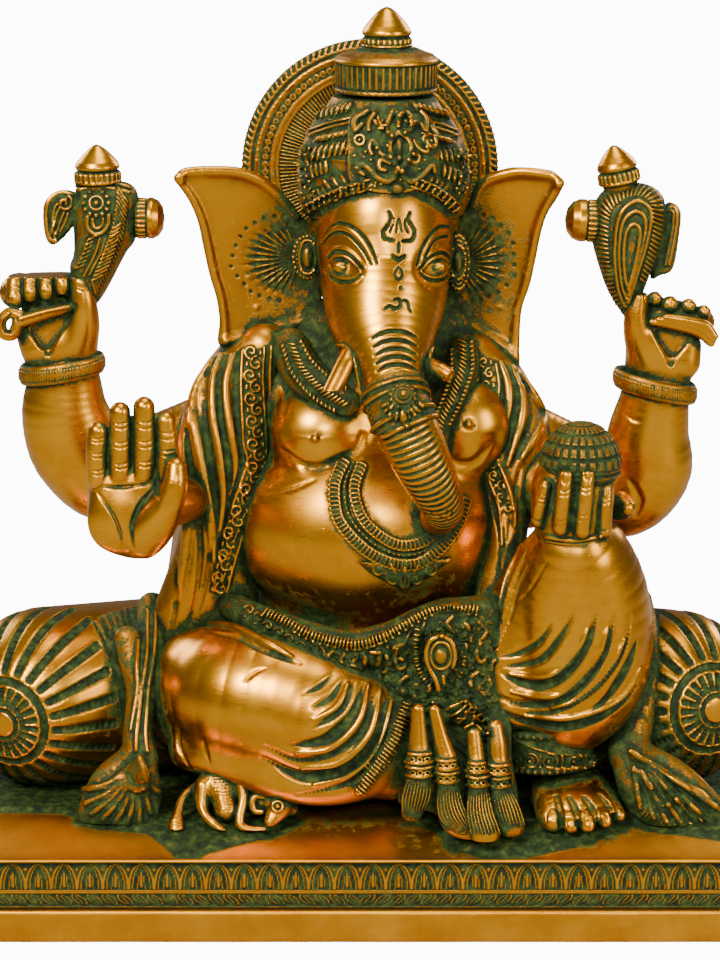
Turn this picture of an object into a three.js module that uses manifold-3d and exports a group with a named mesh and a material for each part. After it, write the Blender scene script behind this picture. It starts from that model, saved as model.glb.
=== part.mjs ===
// A cast brass statuette of the seated elephant-headed deity on a moulded plinth, as the castings it is pieced from.
// Millimetres. +X is the viewer's right, +Y points to the back, +Z is up, and the origin is under the plinth's centre.
import * as THREE from "three";
import { mergeVertices } from "three/addons/utils/BufferGeometryUtils.js";
import Module from "manifold-3d";

const wasm = await Module();
wasm.setup();

// ---------- driving dimensions ----------
const PLINTH = { width: 450, depth: 200, foot: 16, frieze: 21, edge: 4, rise: 9, wall: 8 };
const EDGE_Z = PLINTH.foot + PLINTH.frieze + PLINTH.edge; // top of the plinth's outer edge
const DECK_Z = EDGE_Z + PLINTH.rise; // the raised deck that the figure sits on
const GAP = 0.8; // brazing gap between neighbouring castings
const SOCKET = 0.8; // how much wider a socket is than its spigot
const WALL = 8; // wall of the hollow castings
const COARSE = 0.45; // how far a surface may move when small facets are merged
const BODY_X = 5; // centre line of the torso
const HEAD = { x: 12, y: -14, z: 328 };
const CROWN = { x: 12, y: -2, z: 344, radius: 40, drum: 24 };
const HALO = { x: 5, y: 40, z: 350, radius: 63, thick: 7 };
const BOLSTER = { x: 155, y: -4, z: DECK_Z + 49, radius: 50, length: 44 };

const DETAIL = 0.5; // share of the facets asked for that round shapes get

// ---------- helpers: shapes ----------
const v3 = (p) => new THREE.Vector3(...p);
const FRONT = [0, -1, 0];
const UP = [0, 0, 1];
const facets = (asked, least = 6) => Math.max(least, Math.round(asked * DETAIL));

// A closed three.js geometry as a manifold solid.
function solid(geometry) {
  const bare = geometry.index ? geometry.toNonIndexed() : geometry.clone();
  bare.deleteAttribute("normal");
  bare.deleteAttribute("uv");
  const merged = mergeVertices(bare, 1e-3);
  return new wasm.Manifold(new wasm.Mesh({
    numProp: 3,
    vertProperties: merged.attributes.position.array,
    triVerts: new Uint32Array(merged.index.array),
  }));
}

function geometryOf(manifold) {
  const mesh = manifold.getMesh();
  const geometry = new THREE.BufferGeometry();
  geometry.setAttribute("position", new THREE.BufferAttribute(mesh.vertProperties, 3));
  geometry.setIndex(new THREE.BufferAttribute(mesh.triVerts, 1));
  geometry.computeVertexNormals();
  return geometry;
}

const join = (...parts) => parts.reduce((a, b) => a.add(b));

function box(low, high) {
  const size = high.map((h, i) => h - low[i]);
  const middle = high.map((h, i) => (h + low[i]) / 2);
  return solid(new THREE.BoxGeometry(...size).translate(...middle));
}

// turn is a rotation in degrees about X, Y and Z; skin grows or shrinks the surface.
function ellipsoid(at, radii, { turn = [0, 0, 0], skin = 0, fine = 20 } = {}) {
  const around = facets(fine);
  const ball = new THREE.SphereGeometry(1, around, Math.round(around * 0.6));
  ball.scale(...radii.map((r) => r + skin));
  const [rx, ry, rz] = turn.map(THREE.MathUtils.degToRad);
  return solid(ball.rotateX(rx).rotateY(ry).rotateZ(rz).translate(...at));
}

// A rounded bar along a smooth curve. Each stop is [x, y, z, half width, half thickness]; the thickness faces `face`.
function limb(stops, { face = FRONT, sides = 16, steps = 10, cap = 3, skin = 0, blunt = 1 } = {}) {
  const path = new THREE.CatmullRomCurve3(stops.map((s) => v3(s.slice(0, 3))), false, "centripetal");
  const size = new THREE.CatmullRomCurve3(stops.map((s) => v3([s[3], s[4] ?? s[3], 0])), false, "centripetal");
  const bar = new THREE.CapsuleGeometry(1, 1, Math.max(1, cap - 1), facets(sides), facets(steps, 2));
  const p = bar.attributes.position;
  const thin = new THREE.Vector3();
  for (let i = 0; i < p.count; i++) {
    const along = THREE.MathUtils.clamp(p.getY(i) + 0.5, 0, 1);
    const past = p.getY(i) + 0.5 - along; // beyond either end, where the cap is
    const tangent = path.getTangent(along);
    thin.set(...face).addScaledVector(tangent, -v3(face).dot(tangent)).normalize();
    const wide = new THREE.Vector3().crossVectors(thin, tangent);
    const { x: halfWide, y: halfThin } = size.getPoint(along);
    const at = path.getPoint(along)
      .addScaledVector(tangent, past * (Math.min(halfWide, halfThin) + skin) * blunt)
      .addScaledVector(wide, p.getX(i) * (halfWide + skin))
      .addScaledVector(thin, -p.getZ(i) * (halfThin + skin));
    p.setXYZ(i, at.x, at.y, at.z);
  }
  const made = solid(bar);
  return made.volume() > 0 ? made : solid(flipped(bar));
}

function flipped(geometry) {
  const g = geometry.toNonIndexed();
  const p = g.attributes.position;
  for (let i = 0; i < p.count; i += 3) {
    const [x, y, z] = [p.getX(i + 1), p.getY(i + 1), p.getZ(i + 1)];
    p.setXYZ(i + 1, p.getX(i + 2), p.getY(i + 2), p.getZ(i + 2));
    p.setXYZ(i + 2, x, y, z);
  }
  return g;
}

// A turned piece: profile is [radius, height] pairs from one end of the axis to the other.
function turned(profile, at, axis = UP, { fine = 24, skin = 0 } = {}) {
  const points = profile.map(([r, h]) => new THREE.Vector2(r > 0 ? r + skin : 0, h));
  const lathe = new THREE.LatheGeometry(points, facets(fine));
  lathe.applyQuaternion(new THREE.Quaternion().setFromUnitVectors(v3([0, 1, 0]), v3(axis).normalize()));
  lathe.translate(...at);
  const made = solid(lathe);
  return made.volume() > 0 ? made : solid(flipped(lathe));
}

// A ring whose section is [radius, height] pairs that close on themselves.
const ring = (section, at, axis, options) => turned([...section, section[0]], at, axis, options);

// A round bar from one point to another: the spigot on a casting, or the socket it fits when skin is SOCKET.
function spigot({ from, to, r }, skin = 0) {
  const way = v3(to).sub(v3(from));
  return turned([[0, 0], [r, 0], [r, way.length()], [0, way.length()]], from, way.toArray(), { fine: 12, skin });
}

// A thin sheet: place(s, t, side) gives the point for s and t from 0 to 1 on its front (side 1) or back (side 0).
function sheet(across, down, place) {
  const slab = new THREE.BoxGeometry(1, 1, 1, across, 1, down);
  const p = slab.attributes.position;
  for (let i = 0; i < p.count; i++) {
    p.setXYZ(i, ...place(p.getX(i) + 0.5, p.getZ(i) + 0.5, 0.5 - p.getY(i)));
  }
  const made = solid(slab);
  return made.volume() > 0 ? made : solid(flipped(slab));
}

const smooth = THREE.MathUtils.smoothstep;
const mix = THREE.MathUtils.lerp;

// ---------- helpers: assembly ----------
const metals = {
  brass: new THREE.MeshStandardMaterial({ color: 0xc98a35, roughness: 0.32, metalness: 1 }),
  aged: new THREE.MeshStandardMaterial({ color: 0x7d7440, roughness: 0.5, metalness: 0.85 }),
  steel: new THREE.MeshStandardMaterial({ color: 0x8c8c88, roughness: 0.45, metalness: 1 }),
};
const statue = new THREE.Group();
const placed = [];

// The solid with every surface moved out by a distance.
function grown(manifold, distance) {
  const geometry = geometryOf(manifold);
  const p = geometry.attributes.position;
  const n = geometry.attributes.normal;
  for (let i = 0; i < p.count; i++) {
    p.setXYZ(i, ...[0, 1, 2].map((c) => p.getComponent(i, c) + n.getComponent(i, c) * distance));
  }
  return solid(geometry).add(manifold);
}

const meets = (a, b) => [0, 1, 2].every((i) => a.min[i] < b.max[i] && b.min[i] < a.max[i]);
const largest = (manifold) => manifold.decompose().sort((a, b) => b.volume() - a.volume())[0];

// Adds a casting, fitted to every casting placed before it, as one body.
function place(name, metal, shape) {
  let fitted = shape.simplify(COARSE);
  const near = placed.filter(({ wide }) => meets(fitted.boundingBox(), wide.boundingBox()));
  for (const { wide } of near) fitted = fitted.subtract(wide);
  let body = largest(fitted.simplify(COARSE));
  for (const cut of near.flatMap(({ tight, exact }) => [tight, exact])) {
    if (body.intersect(cut).volume() > 0.001) body = largest(body.subtract(cut));
  }
  const mesh = new THREE.Mesh(geometryOf(body), metals[metal]);
  mesh.name = name;
  statue.add(mesh);
  placed.push({ wide: grown(body, GAP), tight: grown(body, GAP / 8), exact: body });
}

// ---------- plinth ----------
function plinthFrame(inset, low, high) {
  const x = PLINTH.width / 2 - inset;
  const y = PLINTH.depth / 2 - inset;
  const hollow = PLINTH.wall;
  return box([-x, -y, low], [x, y, high]).subtract(box([-x + hollow, -y + hollow, low - 1], [x - hollow, y - hollow, high + 1]));
}

// The slab's deck stands on a sloping apron, wide at the front where it shows.
function plinthTop(drop, inset) {
  const apron = { side: 18, front: 40, back: 14 };
  const x = PLINTH.width / 2 - inset;
  const y = PLINTH.depth / 2 - inset;
  const corner = (s, t) => [mix(-x, x, s), mix(-y, y, t)];
  const deck = (s, t) => [mix(-x + apron.side, x - apron.side, s), mix(-y + apron.front, y - apron.back, t)];
  const body = sheet(1, 1, (s, t, side) => (side ? [...deck(s, t), DECK_Z - drop] : [...corner(s, t), EDGE_Z - drop]));
  return body.add(box([-x, -y, EDGE_Z - PLINTH.edge + 0.3 - drop * 3], [x, y, EDGE_Z - drop]));
}

const BOLTS = [[-52, 22], [58, 22]];
const bolt = ([x, y]) => join(
  turned([[0, 0], [5.8, 0], [5.8, 4], [0, 4]], [x, y, DECK_Z - 8.6], UP, { fine: 6 }),
  turned([[0, 0], [3, 0], [3, 19], [0, 19]], [x, y, DECK_Z - 4.8], UP, { fine: 12 }),
);

place("plinth_foot", "brass", plinthFrame(0, 0, PLINTH.foot));
place("plinth_frieze", "aged", plinthFrame(4, PLINTH.foot + 0.3, PLINTH.foot + PLINTH.frieze));
place("plinth_top", "brass", BOLTS.reduce(
  (slab, [x, y]) => slab.subtract(spigot({ from: [x, y, EDGE_Z], to: [x, y, DECK_Z + 5], r: 3.6 })),
  plinthTop(0, 1).subtract(plinthTop(4, 1 + PLINTH.wall)),
));
BOLTS.forEach((at, i) => place(`fixing_bolt_${i + 1}`, "steel", bolt(at)));

// ---------- torso ----------
const SPIGOTS = {
  neck: { from: [BODY_X + 5, 2, 268], to: [BODY_X + 6, -2, 306], r: 12 },
  rear_arm_left: { from: [-62, 20, 244], to: [-40, 14, 246], r: 8 },
  rear_arm_right: { from: [72, 20, 236], to: [50, 14, 238], r: 8 },
  front_arm_left: { from: [-64, -16, 212], to: [-46, -6, 214], r: 6 },
};

function torsoForm(skin) {
  return join(
    ellipsoid([BODY_X + 1, -2, 182], [71, 55, 53], { skin, fine: 28 }),
    ellipsoid([BODY_X + 3, 5, 240], [64, 35, 46], { skin, fine: 24 }),
    ellipsoid([BODY_X, 8, 106], [76, 52, 62], { skin, fine: 24 }),
  );
}

const breasts = join(
  ellipsoid([-22, -19, 237], [25, 21, 24], { fine: 18 }),
  ellipsoid([46, -17, 237], [24, 20, 25], { fine: 18 }),
);
const torsoCore = join(
  ellipsoid([BODY_X + 1, 0, 186], [61, 44, 46], { fine: 16 }),
  ellipsoid([BODY_X, 8, 112], [64, 42, 60], { fine: 16 }),
);
let torso = torsoForm(0).add(breasts).subtract(torsoCore);
torso = torso.subtract(box([-300, -200, -50], [300, 200, DECK_Z + 10]));
torso = torso.subtract(ellipsoid([BODY_X, 8, DECK_Z + 10], [48, 26, 20], { fine: 12 }));
for (const joint of Object.values(SPIGOTS)) torso = torso.subtract(spigot(joint, SOCKET));
place("torso", "brass", torso);

// ---------- head ----------
const HEAD_SPIGOTS = {
  ear: (side) => ({ from: [HEAD.x + side * 40, 2, HEAD.z - 18], to: [HEAD.x + side * 26, -2, HEAD.z - 18], r: 4 }),
  crown: { from: [HEAD.x, -2, HEAD.z + 22], to: [HEAD.x, -2, HEAD.z + 46], r: 10 },
  tusk_left: { from: [-3, -63, 283], to: [9, -52, 294], r: 3 },
  tusk_right: { from: [39, -64, 280], to: [27, -53, 292], r: 3 },
};

function headForm(skin) {
  return join(
    ellipsoid([HEAD.x, HEAD.y, HEAD.z], [34, 40, 37], { skin, fine: 24 }),
    limb([
      [HEAD.x + 1, -30, 322, 31, 26], [HEAD.x + 3, -44, 302, 24, 20], [HEAD.x + 5, -57, 282, 18.5, 16],
      [HEAD.x + 6, -65, 268, 15.5, 14.5],
    ], { skin, sides: 20, steps: 10, blunt: 0.2 }),
  );
}

let head = headForm(0).add(spigot(SPIGOTS.neck));
head = head.subtract(ellipsoid([HEAD.x, HEAD.y + 2, HEAD.z - 4], [24, 27, 24], { fine: 14 }));
head = head.subtract(spigot({ from: [HEAD.x - 2, -2, 260], to: [HEAD.x, -4, 320], r: 7 }));
for (const joint of [HEAD_SPIGOTS.ear(-1), HEAD_SPIGOTS.ear(1), HEAD_SPIGOTS.crown, HEAD_SPIGOTS.tusk_left, HEAD_SPIGOTS.tusk_right]) {
  head = head.subtract(spigot(joint, SOCKET));
}
place("head", "brass", head);

place("trunk", "brass", limb([
  [18, -66, 266, 15.4, 14], [21, -74, 254, 15.6, 14], [30, -79, 240, 15.2, 13.5], [37, -77, 224, 13.4, 12.5],
  [38, -69, 210, 11, 11], [31, -61, 204, 8.5, 9],
], { sides: 18, steps: 12, blunt: 0.7 }));
place("trunk_band", "aged", ring(
  [[10, -4.5], [17.4, -4.5], [18.4, -2], [18.4, 2], [17.4, 4.5], [10, 4.5]], [18.5, -69, 263], [0.12, -0.55, 0.85], { fine: 20 },
).add(ellipsoid([19.5, -85, 260], [8, 4.5, 8.5], { fine: 14 })));

place("tusk_left", "brass", limb([
  [3, -57, 288, 5.2], [-4, -63, 282, 4.9], [-11, -69, 272, 4.4],
], { face: UP, sides: 12, steps: 4, blunt: 0.3 }).add(spigot(HEAD_SPIGOTS.tusk_left)));
place("tusk_right", "brass", limb([
  [33, -58, 286, 5.2], [38, -64, 281, 4.8], [43, -69, 276, 4.3],
], { face: UP, sides: 12, steps: 4, blunt: 0.3 }).add(spigot(HEAD_SPIGOTS.tusk_right)));

// ---------- crown and halo ----------
const CROWN_PROFILE = [
  [0, -14], [33, -14], [40, -8], [41.5, 2], [40.5, 12], [38.5, 22], [34, 33], [29, 42], [26.5, 47.5], [0, 47.5],
];
const DRUM_PROFILE = [
  [0, 0], [25.6, 0], [25.6, 2.5], [24.2, 3.4], [24.4, 13.6], [25.4, 14.5], [25.2, 17], [20, 20], [13, 21.8], [0, 21.8],
];
const FINIAL_PROFILE = [
  [0, 0], [9.5, 0], [12.4, 1.4], [12.6, 3.6], [10.2, 5.4], [11.6, 6.4], [11.2, 9.5], [7.6, 16.5], [3.4, 21.5], [0, 22.6],
];
const HALO_LUG = { from: [CROWN.x, HALO.y - 1, 378], to: [CROWN.x, 22, 378], r: 5 };
const crownTop = CROWN.z + 47.5;

place("crown", "aged", turned(CROWN_PROFILE, [CROWN.x, CROWN.y, CROWN.z], UP, { fine: 28 })
  .subtract(turned([[0, -20], [24, -20], [24, 8], [0, 14]], [CROWN.x, CROWN.y, CROWN.z], UP, { fine: 16 }))
  .add(spigot(HEAD_SPIGOTS.crown))
  .subtract(spigot(HALO_LUG, SOCKET))
  .subtract(spigot({ from: [CROWN.x, CROWN.y, crownTop - 10], to: [CROWN.x, CROWN.y, crownTop + 2], r: 6 }, SOCKET)));
place("crown_drum", "brass", turned(DRUM_PROFILE, [CROWN.x, CROWN.y, crownTop + GAP], UP, { fine: 28 })
  .add(spigot({ from: [CROWN.x, CROWN.y, crownTop - 9], to: [CROWN.x, CROWN.y, crownTop + 2], r: 6 })));
place("crown_finial", "brass", turned(FINIAL_PROFILE, [CROWN.x, CROWN.y, crownTop + 22.6], UP, { fine: 22 }));
place("crown_crest", "brass", limb([
  [CROWN.x + 4, -50, 352, 5, 4], [CROWN.x + 3, -47, 362, 17, 5], [CROWN.x + 2, -41, 374, 20, 6], [CROWN.x + 1, -33, 386, 9, 5],
], { sides: 16, steps: 8 }));
place("halo", "brass", turned(
  [[0, 0], [HALO.radius - 4, 0], [HALO.radius, 2], [HALO.radius, 5], [HALO.radius - 3, HALO.thick], [40, HALO.thick - 2], [0, HALO.thick - 2]],
  [HALO.x, HALO.y + HALO.thick, HALO.z], FRONT, { fine: 40 },
).add(spigot(HALO_LUG)));

// ---------- ears ----------
// The root runs down the side of the head, and the outer edge sweeps from a pointed top to a narrow foot.
function ear(side) {
  const centre = 4.5;
  const root = new THREE.CatmullRomCurve3([[27, -2, 276], [26, -6, 300], [29, -4, 322], [31, 2, 340]].map(v3));
  const outer = new THREE.CatmullRomCurve3([[72, 2, 262], [71, 8, 285], [77, 10, 312], [86, 4, 336], [93, -6, 352]].map(v3));
  return sheet(8, 12, (s, t, face) => {
    const a = root.getPoint(t);
    const b = outer.getPoint(t);
    const cup = Math.sin(Math.PI * s) * 9 + (1 - smooth(t, 0, 0.12)) * -3 - smooth(t, 0.82, 1) * 9 * Math.sin(Math.PI * s * 0.8);
    const lift = Math.sin(Math.PI * s) * (smooth(t, 0.6, 1) * 5 - (1 - smooth(t, 0, 0.3)) * 3);
    const thick = mix(6.5, 4.2, s);
    return [centre + side * mix(a.x, b.x, s), mix(a.y, b.y, s) + cup - (face ? thick : 0), mix(a.z, b.z, s) + lift];
  });
}
for (const [name, side] of [["left", -1], ["right", 1]]) {
  place(`ear_${name}`, "brass", ear(side).add(spigot(HEAD_SPIGOTS.ear(side))));
  const x = side < 0 ? -30 : 52;
  place(`ear_ornament_${name}`, "aged", ellipsoid([x, -22, 316], [9, 7, 12.5], { fine: 16 }));
}

// ---------- rear arms, their hands and the conches they hold ----------
const REAR = {
  left: {
    side: -1,
    arm: [[-66, 21, 245, 23], [-97, 19, 218, 24], [-127, 11, 203, 23], [-143, 4, 226, 20], [-146, -2, 254, 15]],
    wrist: [-146, -3, 258],
    lean: [0.08, -0.1, 1],
    hand: [-145, -6, 283],
    conch: [[-122, -7, 355, 13, 10], [-123, -7, 342, 19, 13], [-122, -7, 326, 18, 12], [-127, -7, 308, 11.5, 9], [-134, -7, 296, 7, 7]],
    finial: [-122, -7, 355],
    knob: [-104, -7, 334],
    wing: [[-143, -7, 330, 4, 4], [-150, -7, 342, 8, 4.5], [-151, -7, 332, 6, 4], [-149, -7, 323, 3, 3]],
  },
  right: {
    side: 1,
    arm: [[74, 21, 237, 22], [106, 19, 209, 24], [134, 11, 199, 24], [146, 3, 222, 21], [143, -3, 246, 15]],
    wrist: [143, -4, 250],
    lean: [0.1, -0.1, 1],
    hand: [142, -7, 273],
    conch: [[124, -8, 350, 12, 10], [129, -8, 338, 19, 13], [128, -8, 320, 17.5, 12], [128, -8, 305, 12, 9], [133, -8, 292, 7, 7]],
    finial: [121, -8, 350],
    knob: [110, -8, 333],
    wing: [[146, -8, 336, 4, 4], [151, -8, 332, 6, 4], [151, -8, 320, 5, 4], [146, -8, 310, 3, 3]],
  },
};
const SMALL_FINIAL = [
  [0, -3], [8.5, -3], [8.5, 0], [6.8, 1.2], [8.8, 2.6], [8.8, 5.2], [7.4, 6.4], [8.9, 7.6], [8.4, 10], [4.6, 15.4], [0, 18],
];
const KNOB = [[0, 0], [7, 0], [8.2, 2], [7, 4], [9.6, 5.2], [9.4, 8.6], [6.6, 12], [0, 13.4]];

// A fist: a heel above the wrist, four curled fingers across the top and a thumb up the inside.
function fist([x, y, z], side) {
  const fingers = [0, 1, 2, 3].map((i) => {
    const fx = x + side * (-6 + i * 7.6);
    return limb([[fx, y + 6, z + 9, 4.2], [fx, y - 6, z + 13 - i, 4.2], [fx, y - 12, z + 6 - i, 4]], { sides: 8, steps: 3, face: [1, 0, 0], cap: 2 });
  });
  return join(
    limb([[x, y + 3, z - 27, 14, 13], [x, y + 2, z - 14, 17, 13], [x + side * 4, y + 1, z + 2, 17, 11]], { sides: 14, steps: 5 }),
    limb([[x - side * 13, y - 4, z - 8, 6], [x - side * 15, y - 8, z + 4, 5], [x - side * 14, y - 10, z + 13, 4.4]], { sides: 10, steps: 4 }),
    ...fingers,
  );
}

for (const [name, r] of Object.entries(REAR)) {
  const pin = { from: v3(r.wrist).add(v3([0, 2, -14])).toArray(), to: v3(r.wrist).add(v3([0, 1, 10])).toArray(), r: 5 };
  place(`rear_arm_${name}`, "brass", limb(r.arm, { sides: 20, steps: 14, blunt: 0.4 })
    .add(spigot(SPIGOTS[`rear_arm_${name}`])).subtract(spigot(pin, SOCKET)));
  place(`bangle_${name}`, "brass", ring(
    [[13, -4], [18, -4], [19.6, -2.4], [19.6, 2.4], [18, 4], [13, 4]], r.wrist, r.lean, { fine: 24 },
  ));
  place(`conch_${name}`, "brass", join(limb(r.conch, { sides: 16, steps: 9 }), limb(r.wing, { sides: 8, steps: 5, cap: 2 })));
  place(`conch_finial_${name}`, "brass", turned(SMALL_FINIAL, r.finial, UP, { fine: 16 }));
  place(`conch_knob_${name}`, "brass", turned(KNOB, r.knob, [-r.side, 0, 0.05], { fine: 16 }));
  place(`rear_hand_${name}`, "brass", fist(r.hand, r.side).add(spigot(pin)));
}

// ---------- front arms: the blessing hand, and the hand that offers a bowl of sweets ----------
place("blessing_arm", "brass", limb([
  [-62, -16, 214, 16], [-82, -32, 202, 15], [-98, -50, 196, 15], [-104, -60, 197, 14],
], { sides: 14, steps: 7 }).add(spigot(SPIGOTS.front_arm_left)));
const PALM = { x: -106, y: -72, z: 206 };
const palmFingers = [[-16.5, 38], [-6, 49], [5, 52.5], [15.5, 46]].map(([dx, top]) => limb([
  [PALM.x + dx * 0.95, PALM.y, PALM.z + 10, 5, 5], [PALM.x + dx, PALM.y, PALM.z + top - 5, 4.7, 4.7],
], { sides: 10, steps: 3, cap: 2 }));
place("blessing_hand", "brass", join(
  limb([[PALM.x - 1, PALM.y, PALM.z - 11, 17, 8], [PALM.x, PALM.y, PALM.z + 2, 22, 7.5], [PALM.x, PALM.y, PALM.z + 14, 20.5, 6]], { sides: 18, steps: 5 }),
  limb([[PALM.x + 13, PALM.y - 3, PALM.z - 10, 8], [PALM.x + 19, PALM.y - 3, PALM.z + 5, 6.5], [PALM.x + 19.5, PALM.y - 2, PALM.z + 17, 4.6]], { sides: 12, steps: 5, cap: 2 }),
  ...palmFingers,
));

const SWEETS = { x: 100, y: -62, z: 224, radius: 20 };
place("sweet_bowl", "aged", turned(
  [[0, -25], [13, -25], [17, -12], [18.4, -3], [19.4, -2], [19.4, 0], [19.8, 3], [18, 9], [14, 14.6], [8, 18.8], [0, 20.4]],
  [SWEETS.x, SWEETS.y, SWEETS.z], UP, { fine: 28 },
));
const bowlFingers = [[-15.5, -6, 27], [-6, 1, 35], [5, 1.5, 36], [14.5, -5, 27]].map(([dx, top, low]) => limb([
  [SWEETS.x + dx * 1.05, SWEETS.y - 16, SWEETS.z - low + 2, 4.4], [SWEETS.x + dx, SWEETS.y - 19, SWEETS.z - 16, 4.2],
  [SWEETS.x + dx * 0.95, SWEETS.y - 19.5, SWEETS.z + top - 4, 3.6],
], { sides: 8, steps: 4, cap: 2 }));
place("offering_hand", "brass", join(
  ellipsoid([SWEETS.x + 1, SWEETS.y, SWEETS.z - 28], [20, 18, 9], { fine: 16 }),
  limb([[SWEETS.x + 21, SWEETS.y + 4, SWEETS.z - 24, 7], [SWEETS.x + 22, SWEETS.y - 2, SWEETS.z - 12, 5]], { sides: 10, steps: 3, cap: 2 }),
  ...bowlFingers,
));
place("offering_arm", "brass", limb([
  [72, -8, 216, 15], [88, -22, 200, 15], [99, -40, 194, 13],
], { sides: 14, steps: 6 }));

// ---------- legs ----------
const foldedLeg = [[-60, -20, 112, 33], [-58, -38, 104, 34], [-28, -48, 99, 37], [4, -54, 94, 33], [26, -56, 88, 24]];
const raisedLeg = [[101, -60, 178, 21, 22], [106, -52, 160, 31, 28], [107, -46, 136, 37, 33], [100, -42, 112, 37, 34], [92, -38, 96, 28, 28]];
place("folded_leg", "brass", limb(foldedLeg, { face: UP, sides: 24, steps: 14, blunt: 0.9 })
  .subtract(limb(foldedLeg, { face: UP, sides: 12, steps: 6, skin: -WALL - 1 }))
  .subtract(spigot({ from: [-30, -40, 40], to: [-30, -40, 90], r: 10 })));
place("raised_leg", "brass", limb(raisedLeg, { sides: 24, steps: 14, blunt: 0.8 })
  .subtract(limb(raisedLeg, { sides: 12, steps: 6, skin: -WALL - 1 }))
  .subtract(spigot({ from: [92, -34, 40], to: [92, -34, 90], r: 10 })));
place("garment_hem", "aged", turned(
  [[0, -11], [22, -11], [23.4, -9], [23, 0], [23.4, 9], [20, 12], [0, 12]], [94, -46, 81], [0.05, 0.12, 1], { fine: 24 },
));
const TOES = [[-14.5, 0, 6], [-5, -3, 5], [3.5, -3.5, 4.6], [11.5, -2, 4.2], [18.5, 1.5, 3.8]];
place("raised_foot", "brass", join(
  ellipsoid([103, -56, 59], [20, 18, 11], { turn: [8, 0, 0], fine: 18 }),
  ...TOES.map(([dx, dy, r]) => limb([
    [103 + dx * 0.9, -58 + dy * 0.5, 62, r], [103 + dx, -70 + dy, 58, r], [103 + dx * 1.02, -74 + dy, 55, r * 0.92],
  ], { face: UP, sides: 8, steps: 3, cap: 2 })),
));

// ---------- shawl ----------
// Each side hangs from the shoulder in front of the rear arm and lies on the torso.
const underShawl = torsoForm(GAP).add(breasts);
place("shawl_left", "aged", limb([
  [-46, -2, 276, 16, 13], [-60, -8, 250, 21, 15], [-66, -14, 214, 22, 15], [-68, -16, 182, 19, 14], [-70, -15, 154, 18, 14], [-78, -12, 130, 18, 12],
], { sides: 16, steps: 9 }).subtract(underShawl));
place("shawl_right", "aged", limb([
  [56, -2, 274, 16, 13], [70, -8, 250, 20, 15], [73, -14, 216, 18, 15], [73, -21, 184, 13, 13], [74, -26, 156, 11, 12],
], { sides: 16, steps: 9 }).subtract(underShawl));

// ---------- ornaments on the body ----------
const necklaceStops = [[-8, -38, 214], [-7, -47, 200], [-2, -54, 182], [10, -57, 170], [24, -57, 167], [38, -54, 174], [47, -48, 190], [50, -42, 206]];
place("necklace", "aged", limb(necklaceStops.map(([x, y, z]) => [x, y, z, 8, 5]), { sides: 12, steps: 16 }));
place("necklace_pendant", "aged", limb([
  [2, -57, 166, 5, 3.5], [12, -58, 158, 9, 4], [24, -58.5, 155, 11, 4], [36, -56.5, 160, 9, 4], [44, -53, 168, 5, 3.5],
], { sides: 10, steps: 10 }));
place("collar_left", "aged", limb([[-34, -10, 276, 9, 8], [-24, -26, 264, 9, 7], [-10, -36, 256, 8, 6]], { sides: 12, steps: 6 }));
place("collar_right", "aged", limb([[56, -10, 274, 9, 8], [46, -26, 262, 8, 7], [39, -34, 246, 7, 6]], { sides: 12, steps: 6 }));
place("belt", "aged", limb([
  [-66, -28, 150, 9, 8], [-44, -48, 144, 12, 8], [-16, -60, 136, 14, 8], [12, -64, 134, 16, 8], [38, -62, 142, 16, 8], [64, -50, 151, 11, 8],
], { sides: 14, steps: 14 }));
place("belt_medallion", "brass", limb([[37, -73, 144, 8, 5], [38, -76, 133, 13, 7], [41, -77, 120, 10, 6]], { sides: 14, steps: 6 }));

const TASSEL_Y = -92;
const TASSELS = [
  { top: [33, 113], low: [27, 57], lean: 0 }, { top: [40, 114], low: [39, 52], lean: 1 },
  { top: [51, 108], low: [57, 47], lean: 2 }, { top: [60, 106], low: [68, 52], lean: 1 },
];
TASSELS.forEach(({ top, low, lean }, i) => place(`tassel_${i + 1}`, "aged", limb([
  [top[0], TASSEL_Y + 6, top[1], 4, 3.6], [mix(top[0], low[0], 0.45), TASSEL_Y - lean, 86, 5, 4.6],
  [mix(top[0], low[0], 0.8), TASSEL_Y - lean, 70, 5.6, 4.4], [low[0], TASSEL_Y + 2 - lean * 2, low[1] + 3, 8, 3.4],
], { sides: 10, steps: 6, cap: 2 })));

// ---------- the mouse ----------
place("mouse", "brass", join(
  limb([[-75, -66, 62, 9, 9], [-64, -68, 66, 12, 12], [-52, -72, 61, 8, 8]], { face: UP, sides: 14, steps: 6 }),
  limb([[-50, -74, 64, 6, 6], [-43, -78, 63, 7.5, 7], [-35, -80, 60, 3, 3]], { face: UP, sides: 10, steps: 4 }),
  ellipsoid([-47, -78, 69], [3.4, 2.4, 4], { fine: 8 }),
  limb([[-78, -68, 66, 4], [-84, -74, 58, 3.8], [-83, -80, 50, 3.6], [-79, -86, 46.6, 2.6]], { face: UP, sides: 8, steps: 6, cap: 2 }),
  limb([[-56, -74, 60, 3], [-54, -80, 52, 2.8], [-48, -84, 49, 2.4]], { face: UP, sides: 8, steps: 3, cap: 2 }),
));

// ---------- bolsters with the shawl's tied ends ----------
const BOLSTER_PROFILE = [0, 15, 30, 45, 60, 75, 90, 110, 130, 150, 165, 180].map((degrees, i, all) => {
  const a = THREE.MathUtils.degToRad(degrees);
  const onAxis = i === 0 || i === all.length - 1;
  return [onAxis ? 0 : Math.sin(a) ** 0.8 * BOLSTER.radius, -Math.cos(a) * BOLSTER.length];
});

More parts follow.
